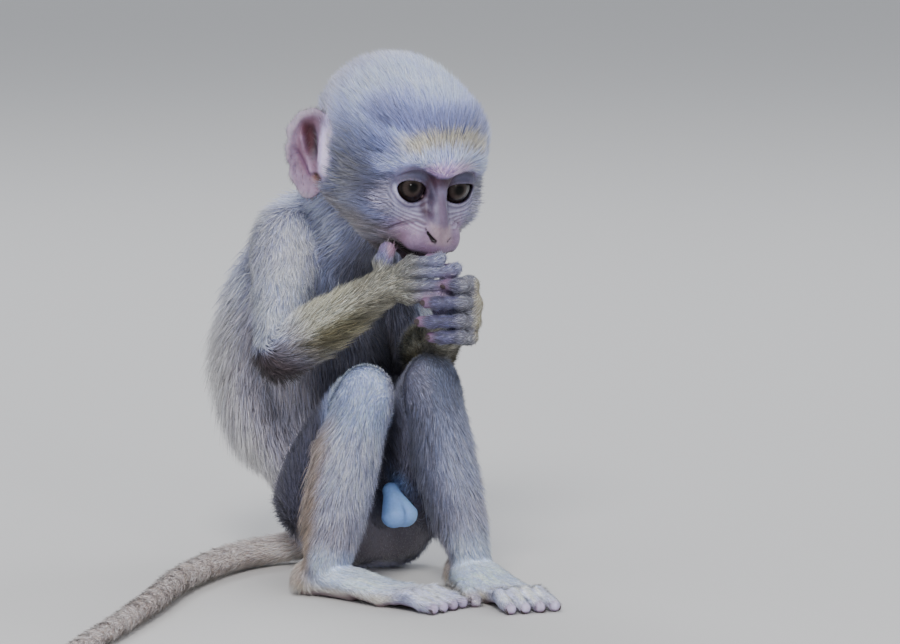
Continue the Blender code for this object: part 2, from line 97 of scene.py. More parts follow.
SHOULDER = {-1: vec(-24, 18, 122), 1: vec(17, 18, 122)}
ELBOW = {-1: vec(-40.9, -6.8, 84), 1: vec(16, -9, 79)}
WRIST = {-1: vec(-20, -47, 110.5), 1: vec(0.6, -54.6, 93)}
HIP = {-1: vec(-18, 6, 27), 1: vec(18, -2, 27)}
KNEE = {-1: vec(-25, -43, 73), 1: vec(-0.5, -47, 76)}
ANKLE = {-1: vec(-42, -43.5, 11), 1: vec(10, -57.5, 11)}
FOOT_ANGLE = {-1: 22.3, 1: -7.0}
HAND_TURN = math.radians(-30)
FINGERS = 4
TOE_PITCH = 3.9
SPINE = [   # x, y, z, half spread, radius of the flesh
    vec(0, 1.5, 18.2, 8.5, 16.5), vec(-2, 9.5, 31, 7, 15.8), vec(-6, 25, 48, 5, 18.5),
    vec(-9, 38, 76, 4, 19.5), vec(-7, 28.5, 103, 5.5, 18), vec(-4, 20, 123, 10, 12.5)]
TAIL = [
    vec(-2, 16, 12), vec(-17, 26, 6.8), vec(-45, 20, 5.6), vec(-82, -10, 5.2),
    vec(-116, -50, 4.8), vec(-150, -88, 4.4), vec(-182, -122, 4.0), vec(-208, -160, 3.6)]
TAIL_BEADS = 32
TAIL_RADII = (5.2, 2.3)
SCROTUM = vec(-1.5, -25.0, 24.5)


def head_point(x, y, z):
    """A point given in the skull's own axes."""
    return HEAD_CENTRE + HEAD_TURN @ vec(x, y, z)


def face_point(x, y, z):
    """A point given in the face's own axes."""
    return HEAD_CENTRE + FACE_TURN @ vec(x, y, z)


def in_face(points):
    """Points of the row frame in the face's own axes."""
    return (points - HEAD_CENTRE) @ FACE_TURN


def turned(across, ahead, up):
    """A point in axes turned about Z, along which the hands are laid out."""
    c, s = math.cos(HAND_TURN), math.sin(HAND_TURN)
    return vec(across * c + ahead * s, across * s - ahead * c, up)


def curve_through(points, count):
    """Evenly shared places along a smooth curve through points."""
    last = len(points) - 1
    places = []
    for number in range(count):
        share = number * last / (count - 1)
        i = min(int(share), last - 1)
        f = share - i
        before, here = points[max(i - 1, 0)], points[i]
        there, after = points[i + 1], points[min(i + 2, last)]
        bend = (there - before) * f + (2 * before - 5 * here + 4 * there - after) * f * f
        places.append(here + 0.5 * (bend + (3 * here - before - 3 * there + after) * f ** 3))
    return places


# ---------------------------------------------------------------- distance fields
FAR = 50.0
REACH = 12.0
BATCH = 24000
CELL = 24.0


def smooth_min(a, b, k):
    """The smaller of two distances, blended over a width k."""
    h = np.maximum(k - np.abs(a - b), 0)
    return np.minimum(a, b) - h * h / (4 * k)


def smooth_max(a, b, k):
    """The larger of two distances, blended over a width k."""
    return -smooth_min(-a, -b, k)


class Cone:
    """A round tapered link between two balls."""

    def __init__(self, a, b, ra, rb, k):
        self.a, self.ra, self.rb, self.k = a, ra, rb, k
        self.axis = b - a
        self.length2 = max(float(self.axis @ self.axis), 1e-9)
        slope = (ra - rb) / math.sqrt(self.length2)
        self.lean = slope / math.sqrt(max(1 - slope * slope, 1e-6)) / math.sqrt(self.length2)
        self.low = np.minimum(a - ra, b - rb)
        self.high = np.maximum(a + ra, b + rb)

    def __call__(self, points):
        away = points - self.a
        along = away @ (self.axis / self.length2)
        side2 = np.einsum("ij,ij->i", away, away) - along * along * self.length2
        share = np.clip(along + np.sqrt(np.maximum(side2, 0)) * self.lean, 0, 1)
        far = np.sqrt(np.maximum(side2 + (along - share) ** 2 * self.length2, 0))
        return far - (self.ra - share * (self.ra - self.rb))


class Ellipsoid:
    """An ellipsoid with half axes along the columns of axes."""

    def __init__(self, centre, radii, axes, k):
        self.centre, self.radii, self.axes, self.k = centre, vec(*radii), axes, k
        self.low, self.high = centre - max(radii), centre + max(radii)

    def __call__(self, points):
        q = ((points - self.centre) @ self.axes) / self.radii
        near = np.sqrt(np.einsum("ij,ij->i", q, q))
        q /= self.radii
        return near * (near - 1) / np.maximum(np.sqrt(np.einsum("ij,ij->i", q, q)), 1e-9)


def chain(balls, k):
    """Links from each ball to the next."""
    return [Cone(a, b, ra, rb, k) for (a, ra), (b, rb) in zip(balls, balls[1:])]


def smooth_chain(stations, count, k):
    """Links along a smooth curve through stations of x, y, z, radius."""
    beads = curve_through([vec(*v) for v in stations], count)
    return chain([(v[:3], v[3]) for v in beads], k)


def touches(shape, low, high, margin):
    """Whether a shape's box comes within margin of another box."""
    return bool(np.all(shape.low - margin < high) and np.all(shape.high + margin > low))


def union(shapes, points, box):
    """Blended distance to several shapes; where none is near, a large value."""
    total = np.full(len(points), FAR)
    for shape in shapes:
        if touches(shape, *box, REACH + shape.k):
            total = smooth_min(total, shape(points), shape.k)
    return total


def in_batches(work, points, *rest):
    """Results of work on points, a compact group of them at a time."""
    cell = ((points - points.min(0)) / CELL).astype(np.int64)
    key = sum(((cell[:, a] >> bit) & 1) << (3 * bit + a) for a in range(3) for bit in range(5))
    order = np.argsort(key, kind="stable")
    results = None
    for first in range(0, len(order), BATCH):
        chosen = order[first:first + BATCH]
        part = work(points[chosen], *(r[chosen] for r in rest))
        parts = part if isinstance(part, tuple) else (part,)
        if results is None:
            results = [np.zeros((len(points),) + p.shape[1:]) for p in parts]
        for result, p in zip(results, parts):
            result[chosen] = p
    return results[0] if len(results) == 1 else tuple(results)


# ---------------------------------------------------------------- body parts
HALF_FACE = {   # blend, then place to the side, ahead and up, and radius of each ball
    "brow": (4, (18.5, -20.4, -0.6, 3.0), (11, -26.4, 4.2, 3.4), (0, -28.6, 3.4, 3.2)),
    "cheekbone": (6, (18.3, -18.0, -9, 4.0), (15.5, -21.0, -16, 4.8), (7, -26.5, -17.5, 4.0)),
    "cheek": (8, (14.5, -12.5, -16, 10), (11.5, -15.5, -20.5, 9.5)),
    "jaw": (7, (13.5, 2, -17, 9.5), (7.5, -19, -28, 6.8)),
    "lip": (3, (10.6, -24.4, -24.0, 5.4), (6.0, -30.8, -24.6, 5.6), (0, -32.4, -24.8, 5.4))}
MIDDLE_FACE = {"muzzle": (5, (0, -19, -19, 12.5), (0, -27.0, -22.0, 9.2)),
               "chin": (2.5, (0, -12, -27, 9), (0, -25.5, -32.6, 5.4))}


def head_shapes():
    """Skull, brow, cheeks, lips, muzzle and jaw."""
    shapes = [
        Ellipsoid(head_point(0, 3, 1), (26.4, 32, 26.4), HEAD_TURN, 6),
        Ellipsoid(face_point(0, -13, 3), (23.5, 18.5, 20), FACE_TURN, 8)]
    lines = [(s, line) for s in SIGNS for line in HALF_FACE.values()]
    lines += [(1, line) for line in MIDDLE_FACE.values()]
    for s, (blend, *balls) in lines:
        shapes += chain([(face_point(s * x, y, z), r) for x, y, z, r in balls], blend)
    return shapes


def trunk_shapes():
    """Neck, throat, back, chest and belly; each link runs headward."""
    shapes = chain([(vec(-3.5, 17, 126), 13), (vec(-2, 3, 140), 12.5), (head_point(0, 8, -13), 15)], 8)
    shapes += chain([(vec(-3, 2, 122), 12), (head_point(0, -4, -20), 11)], 8)
    stations = curve_through(SPINE, 16)
    for s in SIGNS:
        shapes += chain([(vec(v[0] + s * v[3], v[1], v[2]), v[4]) for v in stations], 6)
    shapes += chain([(vec(-3, 6, 50), 17), (vec(-6, 16, 80), 18)], 10)
    shapes += chain([(vec(-6, 14, 82), 17), (vec(-5, 12, 108), 15)], 10)
    return shapes


def tail_shapes():
    """The tail as one tapering chain."""
    beads = curve_through(TAIL, TAIL_BEADS)
    radii = np.linspace(*TAIL_RADII, TAIL_BEADS)
    return chain(list(zip(beads, radii)), 1)


def limb_stations(start, end, profile):
    """Stations along a straight length, each pushed back a little from it."""
    places = [start + (end - start) * t + vec(0, back, 0) for t, r, back in profile]
    return [(*p, r) for p, (t, r, back) in zip(places, profile)]


def arm_shapes(s):
    """Upper arm and forearm."""
    upper = [(0, 10.5, 0), (0.45, 8.7, 0), (0.85, 6.6, 0), (1, 6.2, 0)]
    lower = [(0, 6.2, 0), (0.28, 7.4, 0), (0.62, 6.0, 0), (0.9, 4.5, 0), (1, 4.4, 0)]
    return (smooth_chain(limb_stations(SHOULDER[s], ELBOW[s], upper), 7, 5)
            + smooth_chain(limb_stations(ELBOW[s], WRIST[s], lower), 9, 4))


def leg_shapes(s):
    """Thigh, knee and shin; the left shin is slimmer."""
    thigh = [(0, 13.5, 0), (0.35, 13, 0), (0.72, 9.6, 0), (1, 7.9, 0)]
    stout = 1.0 if s < 0 else 0.35
    shin = [(0, 7.8, 0), (0.3, 8.2 + 0.8 * stout, 2), (0.62, 6.9 + 1.5 * stout, 1.2),
            (0.88, 5.4 + 1.6 * stout, 0.3), (1, 5.2 + 0.8 * stout, 0)]
    return (smooth_chain(limb_stations(HIP[s], KNEE[s], thigh), 8, 6)
            + smooth_chain(limb_stations(KNEE[s], ANKLE[s], shin), 11, 4))


def thigh_length(s):
    """Distance from the hip to the knee."""
    return float(np.linalg.norm(KNEE[s] - HIP[s]))


RIGHT_FINGERS = [(120.4, 24.8), (116.8, 30.4), (112.0, 29.8), (107.8, 28.4)]   # height, reach of each
LEFT_FINGERS = [(112.8, 28.6), (106.4, 21.4), (99.6, 19.4), (94.0, 23.2)]


def finger_joints(s):
    """Joint centres of each finger, index first, and of the thumb, knuckle to tip."""
    digits = []
    if s < 0:
        for i, (z, x) in enumerate(RIGHT_FINGERS):
            knuckle = turned(15.6 - 0.3 * i, 57 - 0.6 * abs(i - 1.5), z - 0.4)
            middle = turned(x, 58, z + 0.2)
            digits.append([knuckle, middle, turned(x + 1.6, 52, z + 0.6), turned(x - 2.5, 49, z + 0.4)])
        return digits, [turned(5.6, 50, 118.5), turned(7.4, 48.4, 123.6)]
    for i, (z, x) in enumerate(LEFT_FINGERS):
        knuckle = turned(37.8 - 0.4 * abs(i - 1.2), 57.5 - 0.5 * i, z - 0.6)
        middle = turned(34.6 - 0.4 * i, 64 - 0.4 * i, z + 0.3)
        digits.append([knuckle, middle, turned(x + 4.5, 64 - 0.3 * i, z), turned(x, 61.2 - 0.3 * i, z - 0.2)])
    return digits, [turned(30, 54, 101), turned(27, 57, 107)]


def finger_tips(s):
    """Ends of the fingers and of the thumb."""
    digits, thumb = finger_joints(s)
    return [digit[-1] for digit in digits] + [thumb[-1]]


def hand_shapes(s):
    """Palm, fingers with thicker joints, and thumb."""
    digits, thumb = finger_joints(s)
    wider = 0.88 if s < 0 else 1.02
    shapes = []
    for knuckle, middle, last, tip in digits:
        mid_a, mid_b = (knuckle + middle) / 2, (middle + last) / 2
        balls = [(knuckle, 2.75), (mid_a, 2.2), (middle, 2.5), (mid_b, 2.1), (last, 2.2), (tip, 1.9)]
        shapes += chain([(WRIST[s], 4.2)] + [(p, r * wider) for p, r in balls], 1.0)
    if s > 0:
        palm = turned(33, 54, 99)
        edge = [(turned(36, 56, 111.8), 3.5), (turned(36.8, 55.5, 105), 4.2), (turned(36.2, 55, 99), 4.2),
                (turned(34.8, 54.5, 94.8), 3.6)]
        shapes += chain([(WRIST[s], 4.0), (palm, 5.4), (turned(33, 55, 107), 5.0)], 2)
        shapes += chain([(palm, 5.2), (turned(27.5, 55, 102.5), 3.8)], 2) + chain(edge, 2)
    heel = WRIST[s] + vec(0, 0, 0.6)
    return shapes + chain([(heel, 3.9), (thumb[0], 3.0), (thumb[1], 3.0 if s < 0 else 2.7)], 1.6)


def foot_frame(s):
    """Directions along and across a foot."""
    a = math.radians(FOOT_ANGLE[s])
    return vec(math.sin(a), -math.cos(a), 0), vec(math.cos(a), math.sin(a), 0)


def sole_point(s, forward, sideways, height):
    """A point over a foot's sole."""
    ahead, across = foot_frame(s)
    point = ANKLE[s] + forward * ahead + sideways * across
    return vec(point[0], point[1], height)


def toe_joints(s):
    """Joint centres of each toe and the big toe."""
    toes = []
    for i in range(FINGERS):
        out = (i - 1.5) * TOE_PITCH
        toes.append([
            sole_point(s, 30, out, 3.3), sole_point(s, 43, 1.25 * out, 4.7),
            sole_point(s, 50, 1.4 * out, 3.1), sole_point(s, 55, 1.45 * out, 2.1)])
    big = [sole_point(s, ahead, -aside * s, height)
           for ahead, aside, height in ((18, 9.5, 3.5), (28, 12.5, 2.9), (35, 13.5, 2.3))]
    return toes, big


def foot_shapes(s):
    """Heel, sole, toes and big toe."""
    heel = sole_point(s, -7, 0, 5.8)
    sole = sole_point(s, 14, 2.2 * s, 4.3)
    shapes = chain([(ANKLE[s], 5.2), (heel, 5.9)], 5) + chain([(heel, 5.4), (sole, 4.3)], 4)
    toes, big = toe_joints(s)
    for i, (ball, middle, last, tip) in enumerate(toes):
        base = sole_point(s, 3, 0.45 * (i - 1.5) * TOE_PITCH, 8)
        toe = [(ball, 3.15), ((ball + middle) / 2, 2.35), (middle, 2.6), (last, 2.25), (tip, 2.05)]
        shapes += chain([(base, 4.4)] + toe, 1.2)
    side = sole_point(s, 2, -4 * s, 6.5)
    return shapes + chain([(side, 4.4), (big[0], 3.4), (big[1], 2.8), (big[2], 2.35)], 1.4)


def scrotum_shapes():
    """Two joined lobes."""
    root = SCROTUM + vec(-0.5, 5, 7.5)
    return [link for s in SIGNS
            for link in chain([(root, 2.8), (SCROTUM + vec(2.2 * s, -0.3, -0.5), 4.8)], 1.2)]


# ---------------------------------------------------------------- ears
EAR_CENTRE = vec(28.5, 11.0, -11.5)
EAR_HALF_WIDTH = 8.9
EAR_HALF_HEIGHT = 16.4
EAR_SHEET = 0.75
EAR_RIM = 1.25
EAR_NOTCH = ((1.6, -7.6), (5.6, -12.2))
EAR_FURROW = ((-6.0, 1.0), (0.0, -8.8))
EAR_RIDGE = ((-4.3, 6.0), (0.4, -7.4))
EAR_EDGE = ((2.9, 7.5), (2.7, -2.8))


def ear_axes(s):
    """Centre of an ear and its axes: forward, along and outward."""
    out = unit(vec(s * 0.72, -0.66, 0.05))
    along = vec(s * 0.16, 0.12, 1.0)
    along = unit(along - out * (along @ out))
    forward = np.cross(along, out) * -s
    centre = head_point(s * EAR_CENTRE[0], *EAR_CENTRE[1:])
    return centre, HEAD_TURN @ np.stack([forward, along, out], 1)


def ear_local(s, points):
    """Places forward, along and outward in an ear's own axes."""
    centre, axes = ear_axes(s)
    return ((points - centre) @ axes).T


def ridge(x, y, start, end, width):
    """Height from 0 to 1 of a straight ridge between two points of the ear's flat."""
    ax, ay = start
    dx, dy = end[0] - ax, end[1] - ay
    length = math.hypot(dx, dy)
    along = ((x - ax) * dx + (y - ay) * dy) / length
    aside = ((x - ax) * dy - (y - ay) * dx) / length
    return band(aside, 0, width) * step(along, -1.0, 1.0) * fall(along, length - 1.0, length + 1.0)


def ear_bowl(x, y):
    """Depth from 0 to 1 of the leaf-shaped bowl, which leans back at the top."""
    return np.exp(-((x + 1.1 + 0.16 * (y - 4.4)) / 2.6) ** 4 - ((y - 4.4) / 6.8) ** 4)


def ear_cup(x, y):
    """Height of the ear's middle sheet over its flat, with its bowl, ridges and furrows."""
    height = 0.024 * x * x + 0.004 * y * y - 1.2 - 3.0 * ear_bowl(x, y)
    height = height - 1.5 * ridge(x, y, *EAR_NOTCH, 1.1) - 0.7 * ridge(x, y, *EAR_FURROW, 0.6)
    return height + 0.9 * ridge(x, y, *EAR_RIDGE, 0.9) + 0.9 * ridge(x, y, *EAR_EDGE, 0.6)


def ear_distance(s, points):
    """A thin cupped sheet with an uneven rolled rim and a rounded front flap."""
    x, y, z = ear_local(s, points)
    width = EAR_HALF_WIDTH * (1 + 0.012 * y)
    around = np.arctan2(y, x)
    uneven = 0.35 * np.sin(7 * around + 1.0) + 0.25 * np.sin(12 * around + 0.3)
    oval = np.sqrt((x / width) ** 2 + (y / EAR_HALF_HEIGHT) ** 2)
    edge = (oval - 1) * EAR_HALF_WIDTH + uneven * step(-x, -2, 3)
    cup = ear_cup(x, y)
    bowl = ear_bowl(x, y)
    sheet = smooth_max(edge, np.abs(z - cup) - EAR_SHEET - 3.4 * bowl * (1 - bowl), 0.6)
    back_rim = np.clip((2.5 - x) / 4, 0, 1)
    rim = np.sqrt((edge + 0.9) ** 2 + (z - cup - 0.7) ** 2) - EAR_RIM * (0.55 + 0.45 * back_rim)
    flap = np.sqrt((x - 6.6) ** 2 + ((y + 4.8) * 0.8) ** 2 + (z - cup - 0.6) ** 2) - 2.7
    return smooth_min(smooth_min(sheet, rim, 0.9), flap, 1.4)


# ---------------------------------------------------------------- whole skin
SHAPES = {"head": head_shapes(), "trunk": trunk_shapes(), "tail": tail_shapes(), "scrotum": scrotum_shapes()}
LIMBS = {"arm": arm_shapes, "hand": hand_shapes, "leg": leg_shapes, "foot": foot_shapes}
for side, sign in SIDES.items():
    for part, shapes_of in LIMBS.items():
        SHAPES[f"{part}_{side}"] = shapes_of(sign)
PARTS = list(SHAPES) + ["ear_right", "ear_left"]


def eye_local(s, q):
    """Offsets from an eyeball's centre: outward, forward, up, with the slant of the lids."""
    d = q - EYE * vec(s, 1, 1)
    out, up = s * d[:, 0] - 0.10 * -d[:, 1], d[:, 2] + 0.04 * -d[:, 1]
    c, t = math.cos(EYE_SLANT[s]), math.sin(EYE_SLANT[s])
    return out * c + up * t, -d[:, 1], up * c - out * t


def lid_gap(s, out, up):
    """Rough distance from the edge of the lids' opening, negative inside it."""
    wide, high, low = EYE_HALF[s]
    half = np.where(up > 0, high, low)
    far = np.abs(out) / wide
    squash = np.sqrt(far ** 2 + (np.abs(up) / half) ** 2)
    return (squash - 1) * (half + 1.2 * np.minimum(far, 1.5))


NOSE = smooth_chain(
    [(0, -25.6, 1, 4.2), (0, -28.6, -6.5, 2.3), (0, -31.6, -13, 2.3), (0, -35.0, -18.6, 2.8)], 9, 2)
WINGS = [Cone(vec(s * 4.6, -33.2, -19.6), vec(s * 1.8, -35.4, -21.6), 2.0, 2.2, 1.4) for s in SIGNS]
NOSTRIL = (   # lines of the left half: place to the side, ahead and up, and radius
    (6.0, -34.9, -19.2, 0.15), (5.3, -36.0, -20.4, 0.3), (3.5, -37.8, -22.3, 0.42), (2.7, -38.1, -22.7, 0.32))
MOUTH = (
    (13.2, -25.6, -26.6, 0.5), (11.0, -30.6, -27.8, 1.0), (6.5, -35.6, -29.3, 0.9), (0, -37.6, -29.9, 0.9))
FOLD = (
    (6.2, -33.8, -17.6, 0.25), (8.0, -31.4, -17.3, 0.3), (11.0, -30.0, -18.9, 0.3),
    (14.2, -28.0, -21.0, 0.2), (16.2, -26.6, -23.2, 0.05))
NOSTRIL_SHARE = {-1: 1.0, 1: 0.3}   # how open each nostril is
FOLD_THINNER = {-1: 0.0, 1: 0.4}


def face_line(stations, s, share=1.0, thinner=0.0):
    """Links along a line of one half of the face, in the face's axes."""
    return chain([(vec(s * x, y, z), r * share - thinner) for x, y, z, r in stations], 0.1)


NOSTRILS = [face_line(NOSTRIL, s, share=NOSTRIL_SHARE[s]) for s in SIGNS]
MOUTHS = [face_line(MOUTH, s) for s in SIGNS]
FOLDS = [face_line(FOLD, s, thinner=FOLD_THINNER[s]) for s in SIGNS]
GROOVES = [(line, 0.6) for line in NOSTRILS] + [(line, 1.2) for line in MOUTHS]


def line_gap(line, points):
    """Distance from a line of the face."""
    return np.min([link(points) for link in line], axis=0)


def wrinkle_place(out, up):
    """Number of the fold under the eye that a point lies on, and how strong it is there."""
    flat = np.sqrt((out * 0.62) ** 2 + up ** 2)
    strength = step(-up, 2, 5) * step(flat, 6.0, 7.0) * fall(flat, 10.0, 12.5)
    strength = strength * fall(out, 8, 13) * fall(-out, 5.5, 9)
    return (flat - 6.6) / 1.15, strength


def face_detail(points, total):
    """Sockets, eyelids with their openings, nose, wrinkles, nostrils and the mouth's line."""
    q = in_face(points)
    near = np.all((q > vec(-26, -46, -42)) & (q < vec(26, -6, 14)), axis=1)
    q, d = q[near], total[near]
    if not len(q):
        return total
    for s in SIGNS:
        out, ahead, up = eye_local(s, q)
        hollow = np.sqrt(((out - 0.4) / 10.0) ** 2 + ((ahead - 12.5) / 7.8) ** 2 + ((up - 1.6) / 9.8) ** 2)
        d = smooth_max(d, (1 - hollow) * 7.8, 4.0)
    for s in SIGNS:
        out, ahead, up = eye_local(s, q)
        ball = np.sqrt(out ** 2 + ahead ** 2 + up ** 2)
        d = smooth_min(d, ball - EYE_RADIUS - LID_THICKNESS, 1.6)
    for link in NOSE:
        d = smooth_min(d, link(q), 2.4)
    for link in WINGS:
        d = smooth_min(d, link(q), 1.4)
    for s in SIGNS:
        out, ahead, up = eye_local(s, q)
        ball = np.sqrt(out ** 2 + ahead ** 2 + up ** 2)
        front = step(ahead, 0, 3)
        number, strength = wrinkle_place(out, up)
        d = d + 0.13 * strength * front * np.cos(number * 2 * math.pi)
        above = step(up, 1.5, 4) * front
        d = d + 0.35 * above * band(np.sqrt(out ** 2 + up ** 2), 8.3, 0.55)
        gap = np.maximum(lid_gap(s, out, up), -ahead)
        d = smooth_max(d, -gap, 0.8)
        d = np.maximum(d, EYE_RADIUS + EYE_GAP - ball)
    for fold in FOLDS:
        d = smooth_max(d, -line_gap(fold, q), 1.1)
    for line, k in GROOVES:
        for link in line:
            d = smooth_max(d, -link(q), k)
    total = total.copy()
    total[near] = d
    return total


def part_distances(points):
    """Distance of each point to each part."""
    box = points.min(0), points.max(0)
    found = {name: union(shapes, points, box) for name, shapes in SHAPES.items()}
    for side, s in SIDES.items():
        centre, _ = ear_axes(s)
        near = np.linalg.norm(points - centre, axis=1) < 26
        found["ear_" + side] = np.full(len(points), FAR)
        if near.any():
            found["ear_" + side][near] = ear_distance(s, points[near])
    return found


NECK_BLEND, TAIL_BLEND, EAR_BLEND = 7.0, 4.0, 1.6        # widths over which parts run into each other
WRIST_BLEND, ANKLE_BLEND, SCROTUM_BLEND = 2.0, 2.5, 1.2
SHOULDER_SPREAD, HIP_SPREAD = 20, 24
LEAST_BLEND, JOINT_BLEND = 0.6, 8
FLOOR_GAP = 0.03


def joint_blend(points, centre, spread):
    """Blend width that is largest round a joint."""
    away = points - centre
    return LEAST_BLEND + JOINT_BLEND * np.exp(-np.einsum("ij,ij->i", away, away) / spread ** 2)


def skin_distance(points):
    """Distance to the whole skin, for one compact group of points."""
    d = part_distances(points)
    total = face_detail(points, smooth_min(d["head"], d["trunk"], NECK_BLEND))
    total = smooth_min(total, d["tail"], TAIL_BLEND)
    for side, s in SIDES.items():
        total = smooth_min(total, d["ear_" + side], EAR_BLEND)
        arm = smooth_min(d["arm_" + side], d["hand_" + side], WRIST_BLEND)
        total = smooth_min(total, arm, joint_blend(points, SHOULDER[s], SHOULDER_SPREAD))
        leg = smooth_min(d["leg_" + side], d["foot_" + side], ANKLE_BLEND)
        total = smooth_min(total, leg, joint_blend(points, HIP[s], HIP_SPREAD))
    total = smooth_min(total, d["scrotum"], SCROTUM_BLEND)
    return np.maximum(total, FLOOR_GAP - points[:, 2])


def skin_slope(points, reach=0.12):
    """Outward direction and rate of the skin's distance field."""
    parts = []
    for axis in range(3):
        shift = np.zeros(3)
        shift[axis] = reach
        parts.append(skin_distance(points + shift) - skin_distance(points - shift))
    return np.stack(parts, 1) / (2 * reach)


# ---------------------------------------------------------------- meshing
FINE = 0.46
GRID = [np.concatenate([np.arange(a, b, size) for a, b, size in spans]) for spans in (
    ((-216, -52, 1.1), (-52, 34, FINE), (34, 46, 0.8)),
    ((-168, -116, 1.1), (-116, -30, FINE), (-30, 64, 0.95)),
    ((-1.0, 14, 0.5), (14, 84, 0.95), (84, 160, FINE), (160, 192, 0.8)))]
BLOCK = 8
FILLED = 9.0            # size of the stand-in distances away from the skin
SKIN_TRIANGLES = 190000


def sample_grid():
    """Distances on the grid near the skin, block by block, and signs elsewhere."""
    shape = np.array([len(axis) for axis in GRID])
    field = np.full(shape, FILLED)
    corner = np.stack(np.meshgrid(*[np.arange(0, n, BLOCK) for n in shape], indexing="ij"), -1).reshape(-1, 3)
    ends = np.minimum(corner + BLOCK, shape - 1)
    low = np.stack([GRID[a][corner[:, a]] for a in range(3)], 1)
    high = np.stack([GRID[a][ends[:, a]] for a in range(3)], 1)
    reach = np.linalg.norm(high - low, axis=1) * 0.75 + 1.5
    middle = in_batches(skin_distance, (low + high) / 2)
    for i, j, k in corner[middle < -reach]:
        field[i:i + BLOCK, j:j + BLOCK, k:k + BLOCK] = -FILLED
    offsets = np.stack(np.meshgrid(*[np.arange(BLOCK)] * 3, indexing="ij"), -1).reshape(-1, 3)
    index = (corner[np.abs(middle) <= reach][:, None] + offsets).reshape(-1, 3)
    index = index[np.all(index < shape, axis=1)]
    places = np.stack([GRID[a][index[:, a]] for a in range(3)], 1)
    field[tuple(index.T)] = in_batches(skin_distance, places)
    return field


def surface_nets(field):
    """A closed quad mesh of the zero surface: one point in each cell that it crosses."""
    solid = field < 0
    count = sum(solid[dx:dx - 1 or None, dy:dy - 1 or None, dz:dz - 1 or None].astype(np.int8)
                for dx in (0, 1) for dy in (0, 1) for dz in (0, 1))
    crossed = (count > 0) & (count < 8)
    cells = np.argwhere(crossed)
    number = np.full(crossed.shape, -1, np.int32)
    number[crossed] = np.arange(len(cells))
    total = np.zeros((len(cells), 3))
    hits = np.zeros(len(cells))
    for axis in range(3):
        others = [a for a in range(3) if a != axis]
        for u in (0, 1):
            for v in (0, 1):
                start = np.zeros(3, int)
                start[others] = u, v
                stop = start.copy()
                stop[axis] = 1
                f0 = field[tuple((cells + start).T)]
                f1 = field[tuple((cells + stop).T)]
                cut = (f0 < 0) != (f1 < 0)
                share = f0[cut] / (f0[cut] - f1[cut])
                total[cut] += start + share[:, None] * (stop - start)
                hits[cut] += 1
    place = cells + total / hits[:, None]
    whole = np.minimum(place.astype(int), np.array(field.shape) - 2)
    rest = place - whole
    points = np.stack([GRID[a][whole[:, a]] * (1 - rest[:, a]) + GRID[a][whole[:, a] + 1] * rest[:, a]
                       for a in range(3)], 1)
    quads = []
    for axis in range(3):
        b, c = (axis + 1) % 3, (axis + 2) % 3
        first = [slice(1, -1)] * 3
        second = [slice(1, -1)] * 3
        first[axis], second[axis] = slice(0, -1), slice(1, None)
        here, there = solid[tuple(first)], solid[tuple(second)]
        edge = np.argwhere(here != there)
        leaving = here[tuple(edge.T)]
        edge = edge + 1
        edge[:, axis] -= 1
        ring = []
        for db, dc in ((-1, -1), (0, -1), (0, 0), (-1, 0)):
            cell = edge.copy()
            cell[:, b] += db
            cell[:, c] += dc
            ring.append(number[tuple(cell.T)])
        ring = np.stack(ring, 1)
        ring[~leaving] = ring[~leaving][:, ::-1]
        quads.append(ring)
    return points, np.concatenate(quads)


def settled(points):
    """Points moved onto the skin, for one compact group of them."""
    for _ in range(2):
        slope = skin_slope(points)
        steep = np.maximum(np.sum(slope ** 2, axis=1, keepdims=True), 0.3)
        move = skin_distance(points)[:, None] * slope / steep
        points = points - np.clip(move, -0.3, 0.3)
    return points


def settled_far(points):
    """Points brought onto the skin from a few millimetres off it."""
    for _ in range(6):
        slope = unit(skin_slope(points))
        points = points - skin_distance(points)[:, None] * slope
    return points


def make_mesh(name, points, faces):
    """An object from points in millimetres and faces of one size."""
    mesh = bpy.data.meshes.new(name)
    size = faces.shape[1]
    mesh.vertices.add(len(points))
    mesh.vertices.foreach_set("co", (points * MM).astype(np.float32).ravel())
    mesh.loops.add(faces.size)
    mesh.loops.foreach_set("vertex_index", faces.astype(np.int32).ravel())
    mesh.polygons.add(len(faces))
    mesh.polygons.foreach_set("loop_start", np.arange(0, faces.size, size, dtype=np.int32))
    mesh.polygons.foreach_set("loop_total", np.full(len(faces), size, np.int32))
    mesh.update(calc_edges=True)
    mesh.shade_smooth()
    obj = bpy.data.objects.new(name, mesh)
    bpy.context.scene.collection.objects.link(obj)
    return obj


def mesh_points(mesh):
    """A mesh's points in millimetres."""
    flat = np.zeros(len(mesh.vertices) * 3, np.float32)
    mesh.vertices.foreach_get("co", flat)
    return flat.reshape(-1, 3).astype(float) / MM


def mesh_triangles(mesh):
    """A mesh's faces as triangles of point numbers."""
    mesh.calc_loop_triangles()
    flat = np.zeros(len(mesh.loop_triangles) * 3, np.int32)
    mesh.loop_triangles.foreach_get("vertices", flat)
    return flat.reshape(-1, 3)


def thin_out(obj, triangles):
    """Fewer faces where the surface is plain."""
    modifier = obj.modifiers.new("thin", "DECIMATE")
    modifier.ratio = triangles / (2 * len(obj.data.polygons))
    graph = bpy.context.evaluated_depsgraph_get()
    mesh = bpy.data.meshes.new_from_object(obj.evaluated_get(graph))
    obj.modifiers.clear()
    obj.data = mesh
    mesh.shade_smooth()


